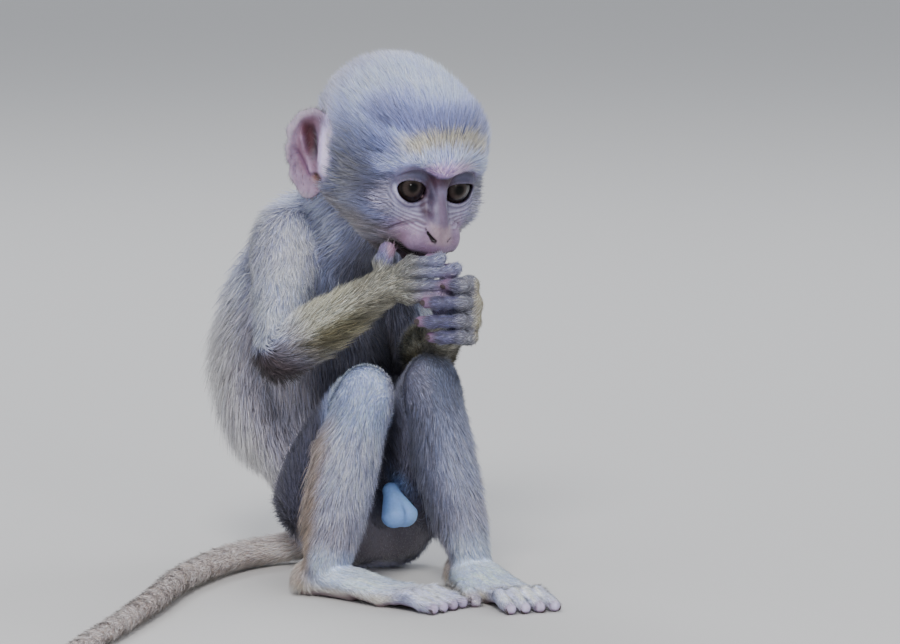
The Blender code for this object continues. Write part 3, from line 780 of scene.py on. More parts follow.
# ---------------------------------------------------------------- where each point lies
PATHS = {
    "head": [head_point(0, 34, 2), head_point(0, 2, 0), face_point(0, -38, -16)],
    "trunk": [vec(0, 3, -2), vec(-3, 16, 40), vec(-6, 24, 76), vec(-5, 20, 112), vec(-3, 4, 145)],
    "tail": curve_through(TAIL, 16), "scrotum": [SCROTUM + vec(0, 3, 10), SCROTUM - vec(0, 1, 8)]}
for side, sign in SIDES.items():
    digits, _ = finger_joints(sign)
    middle = [sum(d[j] for d in digits) / FINGERS for j in range(4)]
    PATHS["arm_" + side] = [SHOULDER[sign] + vec(0, 0, 12), ELBOW[sign], WRIST[sign]]
    PATHS["hand_" + side] = [WRIST[sign], middle[0], middle[1], middle[3]]
    PATHS["leg_" + side] = [HIP[sign], KNEE[sign], ANKLE[sign]]
    PATHS["foot_" + side] = [sole_point(sign, ahead, 0, up) for ahead, up in ((-14, 5), (14, 5), (58, 3))]
    centre, axes = ear_axes(sign)
    PATHS["ear_" + side] = [centre - axes[:, 1] * 18, centre + axes[:, 1] * 18]


def unwrap(part, points):
    """Turn about a part's path, 0 to 1, with length along it and distance from it in mm."""
    path = PATHS[part]
    best = np.full(len(points), 1e9)
    angle, along = np.zeros(len(points)), np.zeros(len(points))
    start = 0.0
    for a, b in zip(path, path[1:]):
        length = float(np.linalg.norm(b - a))
        axis = (b - a) / length
        level = unit(np.cross(axis, vec(0.31, 0.22, 0.93)))
        high = np.cross(level, axis)
        away = points - a
        t = np.clip(away @ axis, 0, length)
        rest = away - t[:, None] * axis
        far = np.linalg.norm(rest, axis=1)
        closer = far < best
        best = np.where(closer, far, best)
        angle = np.where(closer, np.arctan2(rest @ level, rest @ high) / (2 * math.pi) + 0.5, angle)
        along = np.where(closer, start + t, along)
        start += length
    return angle, along, best, start


def along_surface(way, out):
    """Directions brought square to the way out of the skin."""
    return unit(way - out * np.sum(way * out, axis=1, keepdims=True))


PART_BLEND = 1.3        # width over which neighbouring parts share their looks
LINK_REACH, LINK_PULL = 10, 1.5


def survey(points):
    """Outward direction, lie of the coat and nearness to each part, for compact groups."""
    out = unit(skin_slope(points, 0.3))
    d = part_distances(points)
    near = np.stack([d[name] for name in PARTS], 1)
    weight = np.exp(-np.maximum(near - near.min(1, keepdims=True), 0) / PART_BLEND)
    weight /= weight.sum(1, keepdims=True)
    q = in_face(points)
    low = step(-q[:, 2], 12, 20) * step(-q[:, 1], 14, 22)
    origin = np.stack([0 * low, -33 - 5 * low, -6 - 15 * low], 1)
    lie = unit(q - origin) @ FACE_TURN.T * weight[:, [PARTS.index("head")]]
    for name, shapes in SHAPES.items():
        if name == "head":
            continue
        total = np.zeros_like(points)
        for shape in shapes:
            if not touches(shape, points.min(0), points.max(0), LINK_REACH):
                continue
            pull = np.exp(-np.maximum(shape(points), 0) / LINK_PULL)
            total += pull[:, None] * unit(shape.axis) * (-1 if name == "trunk" else 1)
        lie += unit(total) * weight[:, [PARTS.index(name)]]
    for side, s in SIDES.items():
        centre, axes = ear_axes(s)
        lie += unit(points - centre + axes[:, 0] * 4) * weight[:, [PARTS.index("ear_" + side)]]
    return out, along_surface(lie, out), weight


def ripple(points, size, seed):
    """Smooth noise, mostly within -1 to 1, whose lumps are about size across."""
    rng = np.random.default_rng(seed)
    total = 0
    for _ in range(7):
        wave = unit(rng.normal(size=3)) * (2 * math.pi / (size * rng.uniform(0.9, 2.2)))
        total = total + np.sin(points @ wave + rng.uniform(0, 2 * math.pi))
    return total / 3


# ---------------------------------------------------------------- colours
def tone(red, green, blue):
    """A linear colour from its usual 0 to 255 values."""
    return (vec(red, green, blue) / 255) ** 2.2


PALE_BROW, STRAW, LAVENDER = tone(202, 210, 255), tone(194, 186, 146), tone(188, 198, 246)
SLATE, BONE, OLIVE = tone(102, 105, 132), tone(216, 208, 184), tone(174, 173, 154)
DARK_OLIVE, RUST, MAUVE = tone(80, 76, 56), tone(62, 46, 34), tone(166, 144, 164)
PLUM, DUSK, ROSE = tone(88, 62, 74), tone(76, 75, 92), tone(170, 138, 148) * 0.8
SKY, TURQUOISE, CHARCOAL = tone(214, 228, 255), tone(162, 194, 240), tone(74, 74, 82)
FAWN, MILK, ASH = tone(184, 160, 128), tone(226, 222, 238), tone(118, 122, 146)
WINE, CREAM = tone(46, 20, 22), tone(204, 197, 164)
VIVID = 1.25   # how much further from grey the colours are than as named
COOLER = vec(0.9, 0.9, 1.02)   # a slight shift of every colour towards blue
DIMMEST, BRIGHTEST = 0.002, 0.94


def mixed(base, colour, share):
    """Base with a share of a colour laid over it."""
    return base + (colour - base) * np.clip(share, 0, 1)[:, None]


def painted(base, *layers):
    """Base with several colours laid over it in turn, each with its share."""
    for colour, share in layers:
        base = mixed(base, colour, share)
    return base


def face_width(z):
    """Half width of the bare face at a height in the face's axes."""
    return np.interp(z, [-38, -32, -26, -18, -8, 3], [4, 9.5, 13, 15.5, 17.0, 17.0])


BROW_PLACES = [0, 3, 6, 10, 14, 17.5, 19.5]
BROW_EDGE = {-1: [-0.3, -0.8, 0.1, 2.3, 3.3, 1.6, -2.0], 1: [-0.3, 0.1, 0.4, 0.6, 0.5, -0.6, -2.5]}


def brow_edge(q):
    """Height of the lower edge of the brow's hair, an arch over each eye."""
    right, left = (np.interp(np.abs(q[:, 0]), BROW_PLACES, BROW_EDGE[s]) for s in SIGNS)
    return np.where(q[:, 0] < 0, right, left)


def bare_face(q):
    """Share of bare face, from 0 in the coat to 1."""
    x, y, z = np.abs(q[:, 0]), q[:, 1], q[:, 2]
    return step(face_width(z) - x, -4.5, 2.5) * step(brow_edge(q) - z, -0.9, 1.0) * step(-y, 8, 16)


def lid_colour(s, q, colour):
    """Rims, upper lid with painted shade in its crease, and below an eye a groove of painted shade and folds
    with painted light on their ridges and painted shade between them.
    """
    out, forward, up = eye_local(s, q)
    round_eye = np.sqrt(out ** 2 + up ** 2)
    front = step(forward, 0, 3)
    gap = lid_gap(s, out, up)
    upper, lower = front * step(up, -0.5, 1.5), front * step(-up, -0.5, 1.5)
    near = fall(gap, 4.0, 5.5)
    number, wrinkle_shading = wrinkle_place(out, up)
    lines = 0.5 - 0.5 * np.cos(number * 2 * math.pi)
    return painted(
        colour,
        (DUSK, 0.9 * upper * fall(round_eye, 7.6, 8.6)),
        # painted shade in the crease of the upper lid
        (tone(70, 50, 64), 0.65 * upper * band(round_eye, 8.4, 0.6)),
        (tone(158, 148, 164), 0.6 * upper * band(gap, 0.55, 0.4)),
        (tone(134, 132, 152), 0.4 * upper * band(gap, 2.2, 0.7)),
        # painted shade in the groove below the lower lid
        (tone(96, 84, 104), 0.55 * lower * near * band(gap, 1.75, 0.4)),
        (MILK, 0.85 * lower * band(gap, 0.85, 0.5)),
        # painted light on the fold below that groove
        (MILK, 0.45 * lower * near * band(gap, 2.7, 0.55)),
        # folds under the eye: painted shade in their grooves, painted light on their ridges
        (PLUM, 0.35 * wrinkle_shading * front * (1 - lines)),
        (MILK, 0.62 * wrinkle_shading * front * lines),
        (WINE * 0.6, front * fall(gap, -0.15, 0.3)))


def crown_colour(q, points):
    """Crown, straw and pale bands, temples, cheeks with painted shade, and throat."""
    x, y, z = np.abs(q[:, 0]), q[:, 1], q[:, 2]
    ahead = step(-y, 2, 14)
    edge = 2.4 - 0.012 * x * x
    wobble = 0.7 * ripple(points, 3.0, 5)
    straw = step(z, edge + 5.2 + wobble, edge + 7.5) * fall(z, edge + 9.6 + wobble, edge + 12.5)
    brow = step(z, brow_edge(q) - 1, brow_edge(q) + 0.5) * fall(z, edge + 4.8 + wobble, edge + 7)
    brow = brow * step(-y, 6, 12)
    return painted(
        LAVENDER,
        (ASH, 0.5 * step(x, 16, 25) * step(12 - z, 0, 12) * step(-y, -14, -2)),
        (tone(162, 160, 164), 0.75 * step(y, 0, 18)),
        (SLATE, 0.8 * step(z, 10, 12.5) * fall(z, 15, 24) * ahead),
        # painted shade on the side of the face below the eye
        (tone(88, 94, 116), 0.72 * step(x, 16.0, 21.0) * fall(z, 4, 16) * step(-y, -8, 4)),
        (STRAW, 0.8 * straw * ahead * fall(x, 14, 21)),
        (PALE_BROW, 0.95 * brow * fall(x, 21, 25)),
        (tone(238, 190, 230), 0.65 * brow * fall(x, 5, 13) * fall(z, edge, edge + 3.6)),
        # painted shade on the cheeks
        (ASH, 0.7 * (step(x, 13, 18) * step(-z, 2, 8) * step(-y, -2, 8))),
        (tone(136, 128, 120), 0.75 * step(-z, 17, 24) * step(14 - y, 0, 14)),
        # painted shade between the eye and the ear
        (tone(84, 84, 95), 0.85 * step(x, 13.5, 17) * band(z, -9, 7.5) * step(-y, 2, 10)))


def face_colour(q, points):
    """The bare face: muzzle, nose with a painted highlight down its ridge and painted shade on its sides and
    on the muzzle's sides, the dark bridge between the eyes deepened with painted shade, cheekbones and
    blotches.
    """
    x, y, z = np.abs(q[:, 0]), q[:, 1], q[:, 2]
    blotch = 1 + 0.10 * ripple(points, 4.0, 31) + 0.05 * ripple(points, 1.6, 32)
    return blotch[:, None] * painted(
        tone(156, 150, 172),
        (MAUVE, step(-z, 15, 19) * step(-y, 18, 24)),
        (tone(190, 169, 168), 0.7 * fall(np.abs(z + 20.5), 2, 5) * fall(x, 3, 6.5)),
        # dark plum skin between the eyes, deepened with painted shade
        (tone(70, 46, 56), 0.92 * fall(x, 4, 8.5) * step(z, -7.5, -2.5)),
        # painted shade down the sides of the nose
        (PLUM, 0.85 * band(x, 4.2, 1.7) * step(z, -17.5, -14) * fall(z, -4, 0)),
        # painted highlight down the ridge of the nose
        (tone(121, 103, 118), 0.8 * fall(x, 1.4, 3.0) * step(z, -19, -16) * fall(z, -10, -4)),
        # painted shade on the sides of the muzzle
        (tone(128, 92, 104), 0.7 * step(x, 10.5, 13.5) * step(-z, 20, 24) * step(z + 34, 0, 4)),
        (tone(112, 114, 134), 0.75 * step(x, 12.0, 15.5) * step(-z, 2, 6) * fall(-z, 16, 20)))


def head_colour(q, points):
    """The head's coat, the bare face and lids, and painted shade beside the nose, on the chin below the
    mouth, in the folds of the muzzle, in the nostrils and along the mouth's line.
    """
    x, y, z = np.abs(q[:, 0]), q[:, 1], q[:, 2]
    bare = bare_face(q)
    colour = mixed(crown_colour(q, points), face_colour(q, points), bare)
    for s in SIGNS:
        colour = lid_colour(s, q, colour)
    # painted shade down each side of the nose
    nose_side_shade = band(x, 4.9, 1.5) * step(z, -18.0, -14.5) * fall(z, -3, 1) * step(-y, 20, 24)
    # painted shade on the chin below the mouth
    chin = fall(z, -30.5, -28.2) * fall(x, 14, 17) * step(-y, 14, 18)
    colour = painted(colour, (tone(80, 58, 70), 0.75 * nose_side_shade * bare), (tone(52, 26, 30), 0.9 * chin))
    # painted shade in the folds from the nose to the corners of the mouth
    for fold in FOLDS:
        colour = mixed(colour, tone(94, 76, 88), 0.6 * fall(line_gap(fold, q), 0.0, 0.9))
    # painted shade in the nostrils and along the mouth's line
    for reach, lines in ((0.65, NOSTRILS[:1]), (0.25, NOSTRILS[1:]), (2.4, MOUTHS)):
        for line in lines:
            colour = mixed(colour, WINE * 0.35, fall(line_gap(line, q), 0.3 * reach, reach))
    return colour * (1 - 0.38 * bare)[:, None]


def trunk_colour(points, out):
    """Back, flanks, shoulders, chest and belly, with painted shade on the lower belly, under the chin, on the
    chest between the arms and low on the rump.
    """
    x, y, z = points.T
    belly = painted(
        tone(98, 99, 106),
        (tone(132, 132, 144), step(z, 100, 122)),
        # painted shade on the lower belly
        (CHARCOAL, 0.75 * fall(z, 40, 75)),
        (tone(180, 186, 208), 0.8 * step(-x, 9, 16) * step(z, 98, 110)),
        # painted shade on the throat under the chin
        (tone(58, 42, 48), 0.85 * step(z, 118, 125) * step(-y, 14, 20)),
        # painted shade on the left of the chest, between the arms
        (tone(92, 92, 102), 0.8 * step(x, -6, 6) * step(z, 84, 100)))
    return painted(
        tone(188, 193, 226),
        (tone(168, 162, 156), 0.85 * step(out[:, 1], 0.2, 0.9)),
        (tone(255, 250, 255), 0.95 * step(-out[:, 0], 0.1, 0.7) * fall(z, 84, 114)),
        (belly, step(-out[:, 1], -0.1, 0.75)),
        # painted shade low on the rump, between the legs
        (tone(104, 98, 98), 0.6 * fall(z, 12, 34) * step(-out[:, 1], -0.5, 0.3)))


def arm_colour(points, out, side):
    """Bluish upper arm, olive forearm with a dark band and a straw edge below; the band is deepened with
    painted shade, the forearm's top has a straw painted highlight, and the left upper arm has painted shade
    on its side towards the trunk.
    """
    _, along, _, total = unwrap("arm_" + side, points)
    fore = step(along, 56, 80)
    colour = painted(
        tone(214, 217, 240),
        (SKY, 0.4 * step(along, 18, 40) * (1 - fore)),
        (OLIVE, fore),
        # darker olive on the forearm's underside: its dark band, deepened with painted shade
        (DARK_OLIVE, 0.9 * fore * step(-out[:, 2], 0.0, 0.45)),
        (CREAM, 0.6 * fore * step(-out[:, 2], 0.72, 0.95)),
        (RUST, 0.94 * band(along, 57, 14) * step(-out[:, 2], -0.5, 0.15)))
    # painted shade on the left upper arm's side towards the trunk
    if side == "left":
        colour = mixed(colour, tone(88, 86, 88), 0.85 * (1 - fore) * step(-out[:, 0], -0.3, 0.4))
    return painted(
        colour,
        # painted highlight, straw coloured, on the forearm's top
        (tone(206, 198, 160), 0.4 * fore * step(out[:, 2], 0.4, 0.9)),
        (tone(134, 132, 120), 0.6 * step(along, total - 22, total - 6)))


def hand_colour(points, side):
    """Olive hand with slate fingers and thumb; the left is slate with a cream outer edge."""
    _, along, _, _ = unwrap("hand_" + side, points)
    level = turned(1, 0, 0)
    across = points @ level
    streaks = 1 + 0.2 * ripple(points - 0.75 * across[:, None] * level, 1.7, 41)[:, None]
    if side == "left":
        colour = painted(tone(96, 96, 116), (tone(134, 134, 138), step(across, 31.0, 36.5)),
                         (OLIVE, 0.7 * fall(along, 2, 12)))
        return mixed(colour * streaks, tone(194, 186, 156), 0.8 * step(across, 38.2, 40.4))
    colour = mixed(tone(118, 117, 106), tone(124, 126, 146), step(along, 8, 22)) * streaks
    thumb = finger_joints(SIDES[side])[1]
    on_thumb = fall(np.linalg.norm(points - (thumb[0] + 2 * thumb[1]) / 3, axis=1), 4, 6.5)
    pad = on_thumb * step(across, 6.6, 8.4) * step(points[:, 2], 119, 122)
    return painted(colour, (tone(112, 116, 144), on_thumb), (tone(158, 136, 148), pad))


LEG_TONES = {   # knee, shin, where the shin's starts and ends, the knee's painted highlight, the instep, the inner side's painted shade; the right knee's blue has painted highlight in it, and the left knee and shin are painted darker as shade
    "right": (tone(188, 200, 232), tone(196, 200, 220), 8, 20, 0.5, 12, 0.4),
    "left": (tone(108, 113, 127), tone(178, 182, 200), -2, 34, 0.2, 22, 0.6)}


def leg_colour(points, out, side):
    """Dark thigh, pale blue knee with painted highlight, grey shin with a fawn rear, and painted shade on the
    side facing the other leg.
    """
    s = SIDES[side]
    _, along, _, total = unwrap("leg_" + side, points)
    knee = thigh_length(s)
    knee_tone, shin_tone, start, end, painted_knee_highlight, instep, inner = LEG_TONES[side]
    rear = step(along, knee + 6, knee + 18) * step(0.75 * out[:, 1] + 0.65 * s * out[:, 0], 0.1, 0.75)
    # the side facing the other leg, which gets painted shade
    inside = step(-s * out[:, 0], 0.35, 0.85) * fall(along, total - 30, total - 8)
    return painted(
        tone(82, 82, 93),
        (knee_tone, step(along, knee - 26, knee - 8)),
        (shin_tone, step(along, knee + start, knee + end)),
        (tone(176, 172, 176), 0.8 * step(along, total - 34, total - 12)),
        (FAWN, 0.75 * rear),
        # painted highlight on the knee
        (MILK, painted_knee_highlight * band(along, knee, 9) * step(-s * out[:, 0], 0.35, 0.8)),
        (SKY, 0.7 * step(along, total - instep, total - 2) * step(-out[:, 1], -0.2, 0.5)),
        # painted shade on the side facing the other leg
        (tone(106, 107, 118), inner * inside))


def foot_colour(points, out, side):
    """Blue instep, golden heel, cream sole edge and lavender toes, with painted shade on the toes' sides
    between them.
    """
    ahead, across = foot_frame(SIDES[side])
    away = points - ANKLE[SIDES[side]]
    forward, sideways = away @ ahead, away @ across
    toes = tone(216, 220, 244) if side == "right" else tone(232, 236, 255)
    streaks = ripple(np.stack([sideways, 0.22 * forward, 0 * forward], 1), 1.5, 42) * step(forward, 4, 20)
    # painted shade on the sides of the toes, between them
    toe_gap_shade = step(np.abs(out @ across), 0.65, 0.95) * step(forward, 24, 34)
    colour = mixed(tone(216, 232, 255), toes, step(forward, 24, 40))
    colour = colour * ((1 + 0.26 * streaks) * (1 - 0.45 * toe_gap_shade))[:, None]
    return painted(
        colour,
        (FAWN, 0.85 * fall(forward, -6, 2)),
        (BONE, 0.85 * fall(points[:, 2], 3.5, 6.5) * fall(forward, 30, 42)),
        (ROSE, 0.55 * step(forward, 52, 56)),
        (PLUM, 0.8 * step(-out[:, 2], 0.3, 0.8)))


def ear_colour(points, side):
    """Pale pink front, maroon bowl and brown notch deepened with painted shade, painted shade round the bowl
    and in the furrow, and straw-grey back and rim.
    """
    x, y, z = ear_local(SIDES[side], points)
    inner = step(z - ear_cup(x, y), 0.1, 0.7)
    oval = np.sqrt((x / EAR_HALF_WIDTH) ** 2 + (y / EAR_HALF_HEIGHT) ** 2)
    ring = np.sqrt(((x + 0.5) / 4.6) ** 2 + ((y - 3) / 9.5) ** 2)
    depth = mixed(tone(74, 36, 36), tone(44, 34, 28), step(x - 0.25 * y, -2.4, 1.1))
    return painted(
        tone(134, 127, 130),
        (tone(148, 130, 144), inner),
        # painted shade round the bowl
        (tone(122, 90, 100), 0.7 * inner * band(ring, 0.9, 0.3)),
        # painted shade in the furrow
        (tone(104, 78, 98), 0.85 * inner * ridge(x, y, *EAR_FURROW, 0.75)),
        (tone(190, 166, 186), 0.8 * inner * ridge(x, y, *EAR_RIDGE, 0.8)),
        # maroon to brown in the bowl, darker where it is deeper: the ear's own colour with painted shade
        (depth, 0.96 * inner * ear_bowl(x, y) ** 0.8),
        (tone(190, 172, 180), 0.7 * inner * ridge(x, y, *EAR_EDGE, 0.5)),
        # brown in the notch, darkest at its core: the ear's own colour with painted shade
        (tone(134, 96, 70), 0.9 * inner * ridge(x, y, *EAR_NOTCH, 1.7)),
        (tone(70, 47, 36), 0.9 * inner * ridge(x, y, *EAR_NOTCH, 0.8)),
        (tone(220, 206, 240), 0.9 * step(x, 3.4, 5.4) * (1 - ridge(x, y, *EAR_NOTCH, 1.3))),
        (tone(186, 178, 182), 0.6 * step(oval, 0.84, 0.97) * step(-x, -4, 2)))


def ear_front(points, more=10.8):
    """Share of the bare strip of head in front of the ears; more is how far ahead it reaches."""
    found = np.zeros(len(points))
    for s in SIGNS:
        x, y, z = ear_local(s, points)
        reach = more + 1.6 * band(y, -4.5, 4)
        strip = fall(x, reach - 3.5, reach + 1.5) * step(x, 2, 4) * step(y, -9, -6)
        found = np.maximum(found, strip * fall(y, 9, 14) * fall(np.abs(z), 5, 8))
    return found


def scrotum_colour(points, out):
    """Turquoise, with painted shade along the cleft between the lobes."""
    x, _, z = points.T
    # painted shade along the cleft between the lobes
    cleft = 0.75 * band(x, SCROTUM[0], 0.6) * step(-out[:, 1], 0, 0.4) * band(z, SCROTUM[2], 3.5)
    return mixed(TURQUOISE, tone(84, 100, 128), cleft)


def round_tip(points, tip):
    """Nearness to the tip of a finger or toe, 1 at it."""
    return np.exp(-np.sum((points - tip) ** 2, axis=1) / 12)


def markings_and_painted_light(points, out, weight):
    """Colour of skin and coat at each point, from the parts that it is near, with their painted light and
    shade.
    """
    colours = {
        "head": head_colour(in_face(points), points), "trunk": trunk_colour(points, out),
        "tail": mixed(tone(224, 210, 198), BONE, 0.3 * step(-out[:, 2], 0.2, 0.9)),
        "scrotum": scrotum_colour(points, out)}
    for side in SIDES:
        colours["arm_" + side] = arm_colour(points, out, side)
        colours["hand_" + side] = hand_colour(points, side)
        colours["leg_" + side] = leg_colour(points, out, side)
        colours["foot_" + side] = foot_colour(points, out, side)
        colours["ear_" + side] = ear_colour(points, side)
    total = sum(colours[name] * weight[:, [i]] for i, name in enumerate(PARTS))
    for s in SIGNS:
        for tip in finger_tips(s):
            total = mixed(total, tone(142, 108, 122), 0.8 * round_tip(points, tip))
        total = mixed(total, ROSE, 0.6 * round_tip(points, toe_joints(s)[1][-1]))
    grey = total.mean(1, keepdims=True)
    total = mixed(grey + (total - grey) * VIVID, tone(232, 217, 250), 0.9 * ear_front(points))
    patches = 1 + 0.09 * ripple(points, 9, 11) + 0.07 * ripple(points, 24, 12)
    return np.clip(total * patches[:, None] * COOLER, DIMMEST, BRIGHTEST)


# ---------------------------------------------------------------- skin
COAT = {   # length mm, lift degrees, tuft width mm, tufts per square mm
    "head": (7.5, 19, 0.34, 4.6), "trunk": (12.5, 25, 0.36, 3.1), "tail": (5.0, 13, 0.3, 3.4),
    "arm": (7.0, 20, 0.34, 4.2), "hand": (2.9, 8, 0.2, 5.0), "leg": (7.6, 21, 0.36, 3.6),
    "foot": (3.4, 14, 0.2, 5.4), "ear": (2.2, 28, 0.2, 2.5), "scrotum": (1.0, 20, 0.15, 0.4)}
LENGTH, LIFT, WIDTH, DENSITY = range(4)


def coat(points, out, weight):
    """Length, lift, width and density of the coat's tufts."""
    found = weight @ np.array([COAT[name.split("_")[0]] for name in PARTS])
    length, lift, width, density = found.T   # views, so a change to one changes found
    near = dict(zip(PARTS, weight.T))
    q = in_face(points)
    x, y, z = np.abs(q[:, 0]), q[:, 1], q[:, 2]
    height = points[:, 2]
    head, trunk = near["head"], near["trunk"]
    bare = bare_face(q) * head
    brow = head * fall(z - brow_edge(q), 2, 16) * step(-y, 4, 16)
    length *= 1 - 0.45 * brow
    length += head * 2.0 * step(x, 14, 20) * step(-z, 0, 10) * step(-y, -10, 2)
    for column, on_face in ((length, 1.15), (lift, 12), (width, 0.14)):
        column[:] = column * (1 - bare) + on_face * bare
    density *= 1 - 0.5 * bare
    flank = trunk * step(np.abs(out[:, 0]), 0.3, 0.8) * step(out[:, 1], -0.5, 0.2)
    skirt = trunk * step(out[:, 1], -0.5, 0.1)
    low = fall(height, 36, 50)
    length += flank * 1.5
    lift += flank * 7
    length -= trunk * 4.5 * step(-out[:, 1], 0.2, 0.8)
    length -= trunk * 4.0 * step(height, 96, 130)
    length += skirt * 2.5 * step(height, 46, 56) * fall(height, 78, 98)
    length -= trunk * low * 7.0
    lift -= trunk * low * 12
    length *= 1 - 0.6 * ear_front(points, 15.0)
    nose_tip = np.linalg.norm(q - vec(0, -36.5, -21), axis=1)
    bald = [0.7 * fall(nose_tip, 3.5, 5.5), near["scrotum"] * 0.8, 0.68 * ear_front(points)]
    bald += [fall(link(q), 0.5, 1.4) * head for line, _ in GROOVES for link in line]
    for side, s in SIDES.items():
        eye_out, forward, up = eye_local(s, q)
        bald.append(fall(np.sqrt(eye_out ** 2 + up ** 2), 7.6, 9.0) * step(forward, 0, 2) * head)
        arm, hand, leg, foot, ear = (near[f"{part}_{side}"] for part in ("arm", "hand", "leg", "foot", "ear"))
        _, along, _, total = unwrap("leg_" + side, points)
        knee = thigh_length(s)
        calf = step(along, knee + 4, knee + 14) * fall(along, total - 20, total - 6)
        length -= leg * 5.0 * band(along - knee, 1, 13)
        length += leg * 3.0 * step(out[:, 1], 0.0, 0.7) * calf
        length -= leg * 4.2 * step(along, total - 20, total - 2)
        _, along, _, total = unwrap("arm_" + side, points)
        length -= arm * 2.4 * step(along, total - 22, total)
        length += arm * 1.6 * step(-out[:, 2], 0.2, 0.8)
        bald.append(hand * fall(out @ turned(0, 1, 0), -0.35, 0.1) * 0.9)
        bald += [0.95 * fall(np.linalg.norm(points - tip, axis=1), 2.8, 4.8) for tip in finger_tips(s)]
        forward = (points - ANKLE[s]) @ foot_frame(s)[0]
        rim = foot * fall(np.abs(out[:, 2]), 0.25, 0.6) * fall(height, 5, 8) * fall(forward, 20, 36)
        length += rim * 1.8
        lift += rim * 8
        bald += [foot * step(-out[:, 2], 0.15, 0.5), foot * step(forward, 53, 56)]
        ear_x, ear_y, ear_z = ear_local(s, points)
        bald.append(ear * step(ear_z - ear_cup(ear_x, ear_y), 0.1, 0.6) * 0.75)
    density *= 1 - np.clip(np.max(bald, axis=0), 0, 1)
    density *= step(height, 0.2, 0.8)
    return found


def set_colours(mesh, colours):
    """Store a linear colour at each point."""
    opaque = np.column_stack([colours, np.ones(len(colours))])
    layer = mesh.color_attributes.new("tint", "FLOAT_COLOR", "POINT")
    layer.data.foreach_set("color", opaque.astype(np.float32).ravel())


def set_inputs(node, **values):
    """Give a node's inputs their values; spaces in their names are written as underscores."""
    for name, value in values.items():
        node.inputs[name.replace("_", " ")].default_value = value


def surface_material(name, roughness, bumps=(), speckle=0.12, **more):
    """Painted colour with fine speckle, and relief of one or more sizes."""
    material = bpy.data.materials.new(name)
    material.use_nodes = True
    nodes, links = material.node_tree.nodes, material.node_tree.links
    shader = nodes["Principled BSDF"]
    usual = {"Specular_IOR_Level": 0.35, "Subsurface_Scale": 0.002, "Coat_Roughness": 0.03}
    set_inputs(shader, Roughness=roughness, **{**usual, **more})

    def add(kind, **values):
        node = nodes.new("ShaderNode" + kind)
        set_inputs(node, **values)
        return node

    tint = add("VertexColor")
    tint.layer_name = "tint"
    place = add("TexCoord")
    grain = add("TexNoise", Scale=900, Detail=3)
    shade = add("MapRange", From_Min=0.3, From_Max=0.7, To_Min=1 - speckle, To_Max=1 + speckle)
    blend = add("VectorMath")
    blend.operation = "SCALE"
    links.new(place.outputs["Object"], grain.inputs["Vector"])
    links.new(grain.outputs["Fac"], shade.inputs["Value"])
    links.new(tint.outputs["Color"], blend.inputs[0])
    links.new(shade.outputs["Result"], blend.inputs["Scale"])
    links.new(blend.outputs["Vector"], shader.inputs["Base Color"])
    last = None
    for scale, depth, source in bumps:
        vector = place.outputs["Object"]
        if source:
            lie = add("Attribute")
            lie.attribute_name = source
            vector = lie.outputs["Vector"]
        noise = add("TexNoise", Scale=scale, Detail=2)
        bump = add("Bump", Distance=depth, Strength=0.6)
        links.new(vector, noise.inputs["Vector"])
        links.new(noise.outputs["Fac"], bump.inputs["Height"])
        if last:
            links.new(last.outputs["Normal"], bump.inputs["Normal"])
        last = bump
    if last:
        links.new(last.outputs["Normal"], shader.inputs["Normal"])
    return material


def dress(obj, colours, material):
    """Colours, material, body and slot of a piece."""
    set_colours(obj.data, colours)
    obj.data.materials.append(material)
    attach(obj, "root")


def hair_grain(points, owner):
    """Places on a map stretched along the coat's lie, for the skin's fine relief."""
    grain = np.zeros((len(points), 3))
    for number, name in enumerate(PARTS):
        mine = owner == number
        if mine.any():
            around, along, far, _ = unwrap(name, points[mine])
            grain[mine] = np.stack([around * 40, along * 0.12, far * 0.1], 1)
    return grain


skin = make_mesh("skin", *surface_nets(sample_grid()))
settled_points = in_batches(settled, mesh_points(skin.data))
skin.data.vertices.foreach_set("co", (settled_points * MM).astype(np.float32).ravel())
thin_out(skin, SKIN_TRIANGLES)
skin_points = mesh_points(skin.data)
skin_faces = mesh_triangles(skin.data)
skin_out, skin_lie, skin_near = in_batches(survey, skin_points)
skin_coat = coat(skin_points, skin_out, skin_near)
skin_tint = markings_and_painted_light(skin_points, skin_out, skin_near)
skin_owner = np.argmax(skin_near, axis=1)
# share of painted shade that the coat casts on the skin under it
coat_shade_share = np.clip(skin_coat[:, DENSITY] / 2.0, 0, 1) * step(skin_coat[:, LENGTH], 1.5, 3)
on_foot = sum(skin_near[:, PARTS.index("foot_" + side)] for side in SIDES)
grain_layer = skin.data.attributes.new("lie", "FLOAT_VECTOR", "POINT")
grain_layer.data.foreach_set("vector", hair_grain(skin_points, skin_owner).astype(np.float32).ravel())
skin_material = surface_material(
    "bare_skin", 0.48, [(1500, 0.00012, None), (3.2, 0.0002, "lie")], speckle=0.07, Subsurface_Weight=0.08)
# the skin is painted darker where the coat covers it: painted shade of the coat, left off the feet
dress(skin, skin_tint * (1 - 0.34 * coat_shade_share * (1 - on_foot))[:, None], skin_material)
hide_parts(*FLESH_NODES)

# ---------------------------------------------------------------- coat
PATCH = 0.0015          # half a tuft's patch on its map
MAP_EDGE = 0.02
MOST_TRIANGLES = 180000
LONG = 9.0              # tufts longer than this are bent
ROOT_DEPTH = 0.15
LOWEST_TIP = 0.1
LEAST_LIFT = 3
DARK_TIP, PALE_TIP = 0.45, 1.5
